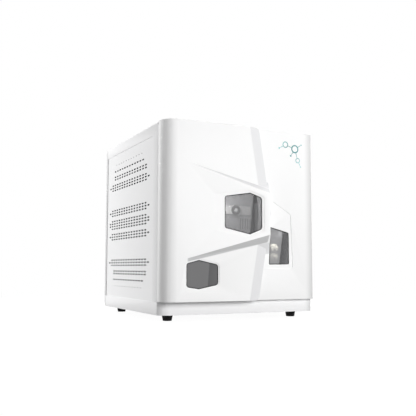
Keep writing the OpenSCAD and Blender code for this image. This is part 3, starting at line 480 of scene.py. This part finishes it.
def granules(name, colour):
    """Packed catalyst beads, each its own shade."""
    f = Finish(name, Roughness=0.8)
    distance, shade = f.cells(420)
    grey = f.node("ShaderNodeRGBToBW", {}, {0: shade})
    f.feed("Base Color", f.mix(Term(f, grey.outputs[0]), tint(colour, 0.5), tint(colour, 1.9)))
    f.relief(1 - distance, 0.0008)
    return f.material


def circuit(name, colour):
    """Green solder mask over a grid of copper tracks, with tinned pads."""
    f = Finish(name, Coat_Weight=0.3)
    x, _, z = f.place()
    # Distances from the nearest upright and level line of a 9 by 11 mm grid
    across, along = abs(x % 0.009 - 0.0045), abs(z % 0.011 - 0.0055)
    broken = f.noise(34, 0.0) > 0.5
    track = f.maths("MINIMUM", (across < 0.0007) + (along < 0.0007), 1.0) * broken
    pads = (across < 0.0013) * (along < 0.0013)
    green = f.mix(track, colour, tint(colour, 1.6))
    f.feed("Base Color", f.mix(pads, green, (0.72, 0.72, 0.68)))
    f.feed("Roughness", 0.3 + f.noise(300) * 0.1)
    f.relief(track, 0.00004)
    return f.material


def print_ink(name, dark, light):
    """Teal ink that pales with the distance from the print's middle."""
    f = Finish(name, Roughness=0.4)
    x, _, z = f.place()
    right, up = x - PRINT_X, z - PRINT_Z
    away = f.maths("SQRT", right * right + up * up)
    speck = f.noise(1500, 1.0)
    f.feed("Base Color", f.mix(f.step(away, 0.004, 0.06) + speck * 0.1, dark, light))
    return f.material


# --------------------------------------------------------------------- shapes


def surface(name, points, loop_u=False, loop_v=False, caps=False):
    """A mesh from a grid of points [u, v, xyz].

    loop_u and loop_v join the grid's ends, and caps closes the first and last ring.
    """
    nu, nv = points.shape[:2]
    index = np.arange(nu * nv).reshape(nu, nv)
    a = index if loop_u else index[:-1]
    b = np.roll(index, -1, 0) if loop_u else index[1:]
    if loop_v:
        quads = np.stack([a, b, np.roll(b, -1, 1), np.roll(a, -1, 1)], -1)
    else:
        quads = np.stack([a[:, :-1], b[:, :-1], b[:, 1:], a[:, 1:]], -1)
    faces = quads.reshape(-1, 4).tolist()
    if caps:
        faces += [index[0].tolist(), index[-1][::-1].tolist()]
    mesh = bpy.data.meshes.new(name)
    mesh.from_pydata(points.reshape(-1, 3).tolist(), [], faces)
    return mesh


def piece(name, meshes, material, body, smooth=35):
    """One object at the origin from several meshes, with its normals made to point outwards."""
    if not isinstance(meshes, (list, tuple)):
        meshes = [meshes]
    work = bmesh.new()
    for mesh in meshes:
        work.from_mesh(mesh)
        bpy.data.meshes.remove(mesh)
    bmesh.ops.remove_doubles(work, verts=work.verts, dist=SAME_CORNER)
    bmesh.ops.recalc_face_normals(work, faces=work.faces)
    mesh = bpy.data.meshes.new(name)
    work.to_mesh(mesh)
    work.free()
    mesh.shade_smooth()
    mesh.set_sharp_from_angle(angle=math.radians(smooth))
    mesh.materials.append(material)
    made = bpy.data.objects.new(name, mesh)
    bpy.context.scene.collection.objects.link(made)
    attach(made, body)
    return made


def softened(node, material, width, segments=3, angle=13.0):
    """A copy of a CAD node whose edges sharper than angle degrees are rounded by width metres.

    Its triangles are merged first, so that a flat face has no edges of its own.
    """
    work = bmesh.new()
    work.from_mesh(NODES[node].data)
    bmesh.ops.remove_doubles(work, verts=work.verts, dist=SAME_CAD_CORNER)
    bmesh.ops.dissolve_limit(
        work, angle_limit=NEARLY_FLAT, verts=work.verts, edges=work.edges, delimit=set()
    )
    mesh = bpy.data.meshes.new(node + "_soft")
    work.to_mesh(mesh)
    work.free()
    mesh.shade_smooth()
    mesh.materials.clear()
    mesh.materials.append(material)
    made = bpy.data.objects.new(node + "_soft", mesh)
    bpy.context.scene.collection.objects.link(made)
    bevel = made.modifiers.new("edges", "BEVEL")
    bevel.limit_method = "ANGLE"
    bevel.angle_limit = math.radians(angle)
    bevel.width = width
    bevel.segments = segments
    bevel.use_clamp_overlap = True
    bevel.harden_normals = True
    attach(made, NODES[node]["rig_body"])
    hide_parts(node)
    return made


def paint(material, *nodes):
    """Gives CAD nodes a finish, without touching their shape."""
    for node in nodes:
        data = NODES[node].data
        data.materials.clear()
        data.materials.append(material)


def turn(points, steps, centre):
    """A profile [[radius, offset], ...] turned once about the axis through centre along Y."""
    angle = np.linspace(0, FULL_TURN, steps, endpoint=False)[:, None]
    radius, offset = np.asarray(points, float).T
    x = centre[0] + np.cos(angle) * radius
    z = centre[2] + np.sin(angle) * radius
    y = np.broadcast_to(centre[1] + offset, x.shape)
    return np.stack([x, y, z], -1)


def unit(v):
    """Vectors at length 1: v / |v|."""
    return v / np.linalg.norm(v, axis=-1, keepdims=True)


def outline(points, radii, grow=0.0, steps=4):
    """A convex outline in millimetres, moved out by grow, each corner an arc of its radius.

    A corner with the unit sides u and v has b = (u + v) / |u + v| / sin(half its angle) inwards.
    It moves by -grow * b, so that each side moves by grow, and its arc's centre lies radius * b
    inside it.
    """
    p = np.asarray(points, float)
    u = unit(np.roll(p, 1, 0) - p)
    v = unit(np.roll(p, -1, 0) - p)
    half = np.arccos(np.clip((u * v).sum(1), -1, 1)) / 2
    inward = unit(u + v) / np.sin(half)[:, None]
    corner = p - inward * grow
    radius = np.maximum(np.asarray(radii, float) + grow, 0.5)
    centre = corner + inward * radius[:, None]
    reach = (radius / np.tan(half))[:, None]
    first = corner + u * reach - centre
    last = corner + v * reach - centre
    a0 = np.arctan2(first[:, 1], first[:, 0])
    a1 = np.arctan2(last[:, 1], last[:, 0])
    swing = (a1 - a0 + 3 * math.pi) % FULL_TURN - math.pi
    t = a0[:, None] + swing[:, None] * np.linspace(0, 1, steps + 1)
    arc = centre[:, None] + radius[:, None, None] * np.stack([np.cos(t), np.sin(t)], -1)
    return arc.reshape(-1, 2)


def on_face(x, y, z):
    """Points from millimetres on the cabinet's grid, with y from a flat face."""
    return np.stack([LEFT + x / 1000, y, BASE + z / 1000], -1)


def on_wedge(points):
    """Turns points about the wedge's upright start line, so that they lie on its leaning front."""
    turn_back = np.array(Matrix.Rotation(-WEDGE_TILT, 3, "Z"))
    pivot = np.array([WEDGE_START, DOOR_FACE, 0.0])
    return (points - pivot) @ turn_back.T + pivot


def bead(view, face, width, steps=16):
    """A rounded bead inside an opening's rim, as rings of its outline.

    At angle t a ring is moved out by mid + half cos t and lies BEAD_DEPTH - BEAD_HEIGHT sin t
    behind the face, with BEAD_BACK of that height on the rear half.
    """
    points, radii = [corner[:2] for corner in view], [corner[2] for corner in view]
    inner, outer = -width, -BEAD_GAP
    mid, half = (inner + outer) / 2, (outer - inner) / 2
    rings = []
    for t in np.linspace(0, FULL_TURN, steps, endpoint=False):
        ring = outline(points, radii, mid + half * math.cos(t))
        low = BEAD_DEPTH - BEAD_HEIGHT * math.sin(t) * (1 if math.sin(t) > 0 else BEAD_BACK)
        rings.append(on_face(ring[:, 0], np.full(len(ring), face + low / 1000), ring[:, 1]))
    return np.stack(rings)


def shade_sheet_mesh(inner, sign, panel):
    """A thin felt behind a slotted panel, put there as painted shade seen through the slots: a
    rectangle with cut corners at two depths.
    """
    margin, cut = 0.004, 0.006
    y0, y1 = panel[0].y + margin, panel[1].y - margin
    z0, z1 = panel[0].z + margin, panel[1].z - margin
    y = np.array([y0, y0, y0 + cut, y1 - cut, y1, y1, y1 - cut, y0 + cut])
    z = np.array([z1 - cut, z0 + cut, z0, z0, z0 + cut, z1 - cut, z1, z1])
    depths = inner + sign * np.array([0.00003, 0.0003])
    rings = np.stack([np.stack([np.full(8, depth), y, z], -1) for depth in depths])
    return surface("felt", rings, False, True, True)


def print_disc(x, z, inner, outer, steps):
    """Flat ink between two radii: a small square profile turned about (x, z)."""
    profile = [[inner, INK_ROOT], [inner, -INK], [outer, -INK], [outer, INK_ROOT]]
    return surface("disc", turn(profile, steps, (x, PANEL_FACE, z)), True, True)


def print_bar(a, b):
    """A flat bar of ink from a to b: a rectangle's four corners at both ends."""
    along = unit(b - a)
    side = np.array([-along[1], along[0]]) * BAR_WIDTH / 2
    y = PANEL_FACE + np.array([INK_ROOT, -INK, -INK, INK_ROOT])
    ends = []
    for p in (a, b):
        q = np.array([p + side, p + side, p - side, p - side])
        ends.append(np.stack([q[:, 0], y, q[:, 1]], -1))
    return surface("bar", np.stack(ends), False, True, True)


# -------------------------------------------------------------------- settings


def swatch(name, default, description):
    """A colour that the user can change."""
    return bpy.props.FloatVectorProperty(
        name=name, description=description, subtype="COLOR", size=3, min=0, max=1, default=default
    )


def amount(name, default, description, **more):
    """A number that the user can change."""
    return bpy.props.FloatProperty(name=name, description=description, default=default, **more)


class AnalyzerShell(bpy.types.PropertyGroup):
    """Mouldings and painted sheet"""

    white: swatch("Moulding white", (0.9, 0.9, 0.9), "Colour of the door and fixed panel")
    # Grey of the door's bevel, darker than the white as painted shade
    bevel_shade_grey: swatch("Bevel grey", (0.8, 0.8, 0.81), "Colour of the bevel along the door's edge")
    # Grey of the line of painted shade over the wedge and of the strip under its lower line
    accent: swatch("Wedge line grey", (0.51, 0.51, 0.515), "Colour of the lines round the wedge")
    paint: swatch("Cabinet paint", (0.88, 0.88, 0.885), "Colour of the painted cabinet")
    mould_edge: amount("Moulding edge", 0.0013, "Rounding of moulded edges", unit="LENGTH")
    sheet_edge: amount("Sheet edge", 0.0005, "Rounding of folded sheet edges", unit="LENGTH")


class AnalyzerWindows(bpy.types.PropertyGroup):
    """Panes and gaskets"""

    # light is the tint with a painted reflection on a pane's lighter side, dark its darker side
    light: swatch("Light side", (0.3, 0.3, 0.305), "Tint of a pane's lighter side")
    dark: swatch("Dark side", (0.15, 0.15, 0.155), "Tint of a pane's darker side")
    alpha: amount("Density", 0.58, "How much the panes hide", min=0, max=1)
    gasket: amount("Gasket width", 2.4, "Width of the dark bead round a pane in mm", min=0.5)


class AnalyzerStudio(bpy.types.PropertyGroup):
    """Floor, lamps and world"""

    floor: swatch("Floor", (0.16, 0.16, 0.16), "Colour of the floor")
    key: amount("Front lamp", 109.5, "Power of the front lamp", unit="POWER")
    side: amount("Side lamp", 143.0, "Power of the side lamp", unit="POWER")
    top: amount("Top lamp", 52.0, "Power of the lamp overhead", unit="POWER")
    ambient: amount("Ambient", 0.1, "Strength of the world's light on the object")


# ------------------------------------------------------------------- operators


class MakeMouldings(bpy.types.Operator):
    """Door, front panel and hinge lugs with soft moulded edges"""

    bl_idname = "analyzer.mouldings"
    bl_label = "Mouldings"

    def execute(self, context):
        shell = context.scene.analyzer_shell
        white = tuple(shell.white)
        door = door_plastic("door_plastic", white, tuple(shell.bevel_shade_grey), tuple(shell.accent))
        # The fixed panel is painted up to 36 % darker at its rounded right edge, as shade
        panel = moulded("panel_plastic", white, corner=0.36)
        softened("door_shell", door, shell.mould_edge)
        softened("front_panel", panel, shell.mould_edge)
        paint(moulded("lug_plastic", white), "door_hinge_lugs")
        return {"FINISHED"}


class MakeCabinet(bpy.types.Operator):
    """Painted sheet cabinet with slotted side panels"""

    bl_idname = "analyzer.cabinet"
    bl_label = "Cabinet"

    def execute(self, context):
        shell = context.scene.analyzer_shell
        colour = tuple(shell.paint)
        # The cover's paint is up to 24 % darker at the rear folds and the skirt's right corner, as
        # painted shade
        cover = powder_coat("cover_paint", colour, painted_fold_shade=0.24)
        for node in ("wrap_cover", "front_skirt", "base_tray"):
            softened(node, cover, shell.sheet_edge)
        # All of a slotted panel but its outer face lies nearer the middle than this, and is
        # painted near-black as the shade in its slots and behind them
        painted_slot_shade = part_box("right_vent_panel")[1].x - 0.0001
        slotted = powder_coat("vent_panel_paint", colour, painted_slot_shade=painted_slot_shade)
        paint(slotted, "left_vent_panel", "right_vent_panel")
        paint(powder_coat("rear_panel_paint", colour), "rear_panel")
        # A near-black felt sheet behind each slotted panel is put there as painted shade seen
        # through the slots
        shade_felt = felt("painted_shade_felt", (0.012, 0.012, 0.013))
        for side, inner, sign in (("left", 1, 1), ("right", 0, -1)):
            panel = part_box(side + "_vent_panel")
            mesh = shade_sheet_mesh(panel[inner].x, sign, panel)
            piece(side + "_painted_shade_sheet", mesh, shade_felt, "cabinet", smooth=20)
        return {"FINISHED"}


class MakeWindows(bpy.types.Operator):
    """Tinted panes with a painted reflection, each with a dark gasket bead"""

    bl_idname = "analyzer.windows"
    bl_label = "Windows"

    def execute(self, context):
        look = context.scene.analyzer_windows
        # Name, where the painted reflection's edge passes and how it leans, levels left and right,
        # density
        panes = (
            ("furnace", (LEFT + 0.269, BASE + 0.29), 0.107, 0.92, 0.45, 1.0),
            ("pump", (LEFT + 0.1346, BASE + 0.11), 0.082, 0.6, 0.63, 1.4),
            ("reagent", (LEFT + 0.386, BASE + 0.2), 0.141, 1.32, 0.62, 1.0),
        )
        for name, edge, lean, left, right, density in panes:
            light, dark = tint(tuple(look.light), left), tint(tuple(look.dark), right)
            alpha = min(1.0, look.alpha * density)
            pane = pane_with_painted_reflection(name + "_window_tint_painted_reflection", light, dark, edge, lean, alpha)
            paint(pane, name + "_window")
        rubber = soft_rubber("gasket_rubber", (0.016, 0.016, 0.017), 0.7)
        beads = (
            ("furnace_gasket", on_wedge(bead(FURNACE_VIEW, DOOR_FACE, look.gasket)), "door"),
            ("pump_gasket", bead(PUMP_VIEW, DOOR_FACE, look.gasket), "door"),
            ("reagent_gasket", bead(REAGENT_VIEW, PANEL_FACE, look.gasket), "cabinet"),
        )
        for name, points, body in beads:
            piece(name, surface(name, points, True, True), rubber, body)
        return {"FINISHED"}


class MakeMotif(bpy.types.Operator):
    """Printed teal rings, dots and bars on the front panel"""

    bl_idname = "analyzer.motif"
    bl_label = "Motif"

    def execute(self, context):
        ink = print_ink("teal_ink", (0.012, 0.2, 0.21), (0.3, 0.62, 0.63))
        parts = []
        for x, z, radius, width in RINGS:
            parts.append(print_disc(x, z, radius - width / 2, radius + width / 2, 48))
        for x, z, radius in DOTS:
            parts.append(print_disc(x, z, PINHOLE, radius, 32))
        marks = [(np.array(ring[:2]), ring[2] + RING_GAP) for ring in RINGS]
        marks += [(np.array(dot[:2]), dot[2] + DOT_GAP) for dot in DOTS]
        for i, j in LINKS:
            (a, clear_a), (b, clear_b) = marks[i], marks[j]
            along = unit(b - a)
            parts.append(print_bar(a + along * clear_a, b - along * clear_b))
        piece("panel_motif", parts, ink, "cabinet", smooth=20)
        return {"FINISHED"}


class MakeInside(bpy.types.Operator):
    """Furnace, pumps, glassware and modules inside, and the screws"""

    bl_idname = "analyzer.inside"
    bl_label = "Inside"

    def execute(self, context):
        # The inner sheets are grey, and their grey is partly painted shade for the dim inside of
        # the cabinet
        sheet = coated_sheet("inner_sheet", (0.4, 0.4, 0.41))
        paint(sheet, "front_frame", "bulkhead", "partition", "detector_shelf")
        coated = (
            ("furnace_housing", "furnace_coat", (0.36, 0.36, 0.37), 0.0008),
            ("syringe_pump_body", "pump_coat", (0.3, 0.3, 0.31), 0.0012),
            ("reagent_pumps", "reagent_pump_coat", (0.4, 0.4, 0.41), 0.001),
            ("furnace_clamp", "clamp_paint", (0.74, 0.74, 0.73), 0.0008),
        )
        for node, name, colour, edge in coated:
            softened(node, powder_coat(name, colour, grain=1400), edge)
        black = moulded("black_moulding", (0.02, 0.02, 0.022), 0.38, 0.1)
        softened("sight_port_ring", black, 0.0006)
        paint(black, "scrubber_clips", "mains_inlet")
        softened("valve_rotor", black, 0.0005)
        steel = brushed("stainless", (0.62, 0.62, 0.62), (1, 1, 0.03))
        paint(steel, "head_bracket", "syringe_plunger", "tube_pump_rotor")
        plated = brushed("plated_steel", (0.6, 0.61, 0.63), (1, 0.05, 1), 0.34)
        paint(plated, "hinge_arms", "hinge_pins", "strike_discs", "catch_magnets")
        screw = brushed("screw_steel", (0.7, 0.7, 0.7), (1, 1, 1), 0.28)
        paint(screw, "rear_screws", "foot_screws")
        glass = clear_glass("quartz", (0.86, 0.9, 0.9))
        paint(glass, "combustion_tube", "syringe_barrel", "gas_liquid_separator")
        # The lens is near-opaque white: a painted highlight for the glint on it
        paint(clear_glass("sight_lens_painted_glint", (0.95, 0.96, 0.97), 0.85), "sight_port_lens")
        paint(clear_glass("filter_body", (0.78, 0.8, 0.78), 0.75), "scrubber_tubes")
        paint(granules("catalyst_beads", (0.3, 0.28, 0.26)), "catalyst_bed")
        ivory = moulded("ivory_polymer", (0.83, 0.8, 0.68), 0.42, 0.05)
        for node in ("injection_head", "tube_nut", "valve_block", "reagent_pump_heads"):
            softened(node, ivory, 0.0008)
        paint(ivory, "tube_pump_rollers", "drain_spigot")
        softened("tube_pump_head", moulded("pump_moulding", (0.6, 0.6, 0.61), 0.36), 0.001)
        paint(soft_rubber("pump_hose", (0.72, 0.6, 0.38), 0.4), "pump_tube")
        paint(moulded("bottle_plastic", (0.84, 0.83, 0.77), 0.45, 0.0), "reagent_bottles")
        paint(moulded("cap_blue", (0.05, 0.14, 0.48), 0.4, 0.1), "bottle_caps")
        alloy = brushed("module_alloy", (0.66, 0.66, 0.67), (0.05, 1, 1), 0.32)
        paint(alloy, "detector_bench", "gas_cooler")
        paint(circuit("board_laminate", (0.02, 0.2, 0.07)), "control_board")
        paint(moulded("component_body", (0.035, 0.035, 0.035), 0.5, 0.0), "board_parts")
        softened("power_supply", brushed("galvanised", (0.6, 0.6, 0.6), (1, 0.2, 1), 0.36), 0.0008)
        return {"FINISHED"}


class MakeRear(bpy.types.Operator):
    """Fan, guard, inlet and fittings at the rear, and the feet"""

    bl_idname = "analyzer.rear"
    bl_label = "Rear and feet"

    def execute(self, context):
        fan = moulded("fan_plastic", (0.025, 0.025, 0.027), 0.42, 0.05)
        softened("exhaust_fan", fan, 0.0006)
        paint(fan, "fan_rotor")
        paint(moulded("switch_red", (0.5, 0.03, 0.03), 0.25, 0.4), "mains_switch")
        paint(brushed("turned_brass", (0.72, 0.52, 0.22), (1, 0.05, 1), 0.26), "gas_fittings")
        softened("rubber_feet", soft_rubber("foot_rubber", (0.006, 0.006, 0.0065)), 0.0007)
        self.guard()
        return {"FINISHED"}

    def guard(self):
        """Round wires: rings, four spokes behind them, and an eye round each screw.

        A ring is a circle of radius w turned about the middle, a spoke is a circle of 0.9 w
        carried along its line, and an eye is a square profile turned about its screw.
        """
        low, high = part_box("fan_guard")
        cx, cz = (low.x + high.x) / 2, (low.z + high.z) / 2
        wire, y = 0.0011, low.y + 0.0023
        t = np.linspace(0, FULL_TURN, 12, endpoint=False)
        parts = []
        for radius in np.arange(0.014, 0.059, 0.011):
            profile = np.stack([radius + wire * np.cos(t), wire * np.sin(t)], -1)
            parts.append(surface("wire", turn(profile, 64, (cx, y, cz)), True, True))
        reach = np.linspace(0.012, 0.0705, 6)[:, None, None]
        back = np.array([0, 1, 0])
        screw = 0.0525 * math.sqrt(2)
        eye = [[0.0021, 0.0001], [0.005, 0.0001], [0.005, -0.0013], [0.0021, -0.0013]]
        for corner in range(4):
            a = math.pi / 4 + corner * math.pi / 2
            along = np.array([math.cos(a), 0, math.sin(a)])
            across = np.array([-math.sin(a), 0, math.cos(a)])
            ring = wire * 0.9 * (np.cos(t)[:, None] * across + np.sin(t)[:, None] * back)
            centre = np.array([cx, y - 0.0012, cz])
            parts.append(surface("spoke", centre + reach * along + ring, False, True, True))
            hub = np.array([cx, low.y + 0.0014, cz]) + screw * along
            parts.append(surface("eye", turn(eye, 24, hub), True, True))
        chrome = brushed("guard_wire", (0.72, 0.72, 0.74), (1, 1, 1), 0.16)
        made = piece("guard_wires", parts, chrome, "cabinet", smooth=50)
        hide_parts("fan_guard")


class MakeStudio(bpy.types.Operator):
    """Floor, background, three soft lamps, two small ones inside, and the camera"""

    bl_idname = "analyzer.studio"
    bl_label = "Studio"

    def execute(self, context):
        studio = context.scene.analyzer_studio
        self.floor(studio)
        self.world(context, studio)
        # Name, degrees right of the front and up, distance and size in metres, watts, aim
        middle = (0, 0, 0.28)
        lamps = (
            ("front_lamp", 13, 12, 3.6, 1.5, studio.key, middle),
            ("side_lamp", -137, 10, 3.6, 1.6, studio.side, middle),
            ("top_lamp", 0, 90, 3.2, 0.4, studio.top, (0, 0.02, TOP)),
            ("compartment_lamp", -30, 30, 0.1, 0.03, 0.36, (0.0, -0.165, 0.322)),
            ("bay_lamp", 0, 75, 0.075, 0.012, 0.16, (0.138, -0.225, 0.19)),
        )
        for lamp in lamps:
            self.lamp(*lamp)
        camera = bpy.data.cameras.new("photo_camera")
        camera.sensor_width = 36
        camera.lens = CAMERA_LENS
        camera.clip_end = 100
        made = bpy.data.objects.new("photo_camera", camera)
        context.scene.collection.objects.link(made)
        made.location = CAMERA_PLACE
        made.rotation_euler = [math.radians(a) for a in CAMERA_TURN]
        context.scene.camera = made
        context.scene.view_settings.view_transform = "Standard"
        return {"FINISHED"}

    def lamp(self, name, azimuth, height, distance, size, power, aim):
        """A square lamp aimed at a point, and left out of reflections and of the camera's view."""
        light = bpy.data.lights.new(name, "AREA")
        light.shape = "SQUARE"
        light.size = size
        light.energy = power
        made = bpy.data.objects.new(name, light)
        bpy.context.scene.collection.objects.link(made)
        a, h = math.radians(azimuth), math.radians(height)
        away = Vector((math.sin(a) * math.cos(h), -math.cos(a) * math.cos(h), math.sin(h)))
        made.location = Vector(aim) + away * distance
        made.rotation_euler = (-away).to_track_quat("-Z", "Y").to_euler()
        made.visible_glossy = False
        made.visible_camera = False

    def floor(self, studio):
        """A grey floor that is seen as white far off, and two thirds white near the object."""
        f = Finish("studio_floor", Roughness=0.7)
        grain = f.noise(3, 2.0)
        colour = tuple(studio.floor)
        f.feed("Base Color", f.mix(grain, tint(colour, 0.995), tint(colour, 1.005)))
        x, y, _ = f.place()
        far = f.step(f.maths("SQRT", x * x + y * y), 0.45, 1.6)
        glow = f.mix(far, GLARE, WHITE)
        white = f.node("ShaderNodeEmission", {}, {"Color": glow, "Strength": 1.0})
        both = f.blend(f.seen() * (0.68 + far * 0.32), f.shader, white)
        f.connect(f.output.inputs["Surface"], both)
        half = 40.0
        corners = [[[-half, -half, 0], [-half, half, 0]], [[half, -half, 0], [half, half, 0]]]
        mesh = surface("floor", np.array(corners))
        mesh.materials.append(f.material)
        made = bpy.data.objects.new("floor", mesh)
        bpy.context.scene.collection.objects.link(made)

    def world(self, context, studio):
        """White where it is seen, and dim where it lights the object."""
        world = bpy.data.worlds.new("studio_world")
        context.scene.world = world
        sky = Shading(world)
        dim = sky.node("ShaderNodeBackground", {}, {"Color": WHITE, "Strength": studio.ambient})
        bright = sky.node("ShaderNodeBackground", {}, {"Color": WHITE, "Strength": 1.0})
        sky.node("ShaderNodeOutputWorld", {}, {"Surface": sky.blend(sky.seen(), dim, bright)})


class AnalyzerPanel(bpy.types.Panel):
    """Sizes, colours and steps of the analyzer's finishes"""

    bl_idname = "VIEW3D_PT_analyzer"
    bl_label = "Carbon Analyzer"
    bl_space_type = "VIEW_3D"
    bl_region_type = "UI"
    bl_category = "Analyzer"

    def draw(self, context):
        layout = self.layout
        scene = context.scene
        for group in (scene.analyzer_shell, scene.analyzer_windows, scene.analyzer_studio):
            box = layout.box()
            for name in group.__annotations__:
                box.prop(group, name)
        for step in STEPS:
            layout.operator(step.bl_idname)


GROUPS = (AnalyzerShell, AnalyzerWindows, AnalyzerStudio)
STEPS = (MakeMouldings, MakeCabinet, MakeWindows, MakeMotif, MakeInside, MakeRear, MakeStudio)


def register():
    """Adds the settings, the steps and the panel."""
    for cls in (*GROUPS, *STEPS, AnalyzerPanel):
        bpy.utils.register_class(cls)
    bpy.types.Scene.analyzer_shell = bpy.props.PointerProperty(type=AnalyzerShell)
    bpy.types.Scene.analyzer_windows = bpy.props.PointerProperty(type=AnalyzerWindows)
    bpy.types.Scene.analyzer_studio = bpy.props.PointerProperty(type=AnalyzerStudio)


def unregister():
    """Takes them out again."""
    del bpy.types.Scene.analyzer_studio
    del bpy.types.Scene.analyzer_windows
    del bpy.types.Scene.analyzer_shell
    for cls in reversed((*GROUPS, *STEPS, AnalyzerPanel)):
        bpy.utils.unregister_class(cls)


def main():
    """Dresses the frame step by step."""
    register()
    bpy.ops.analyzer.mouldings()
    bpy.ops.analyzer.cabinet()
    bpy.ops.analyzer.windows()
    bpy.ops.analyzer.motif()
    bpy.ops.analyzer.inside()
    bpy.ops.analyzer.rear()
    bpy.ops.analyzer.studio()


if __name__ == "__main__":
    main()
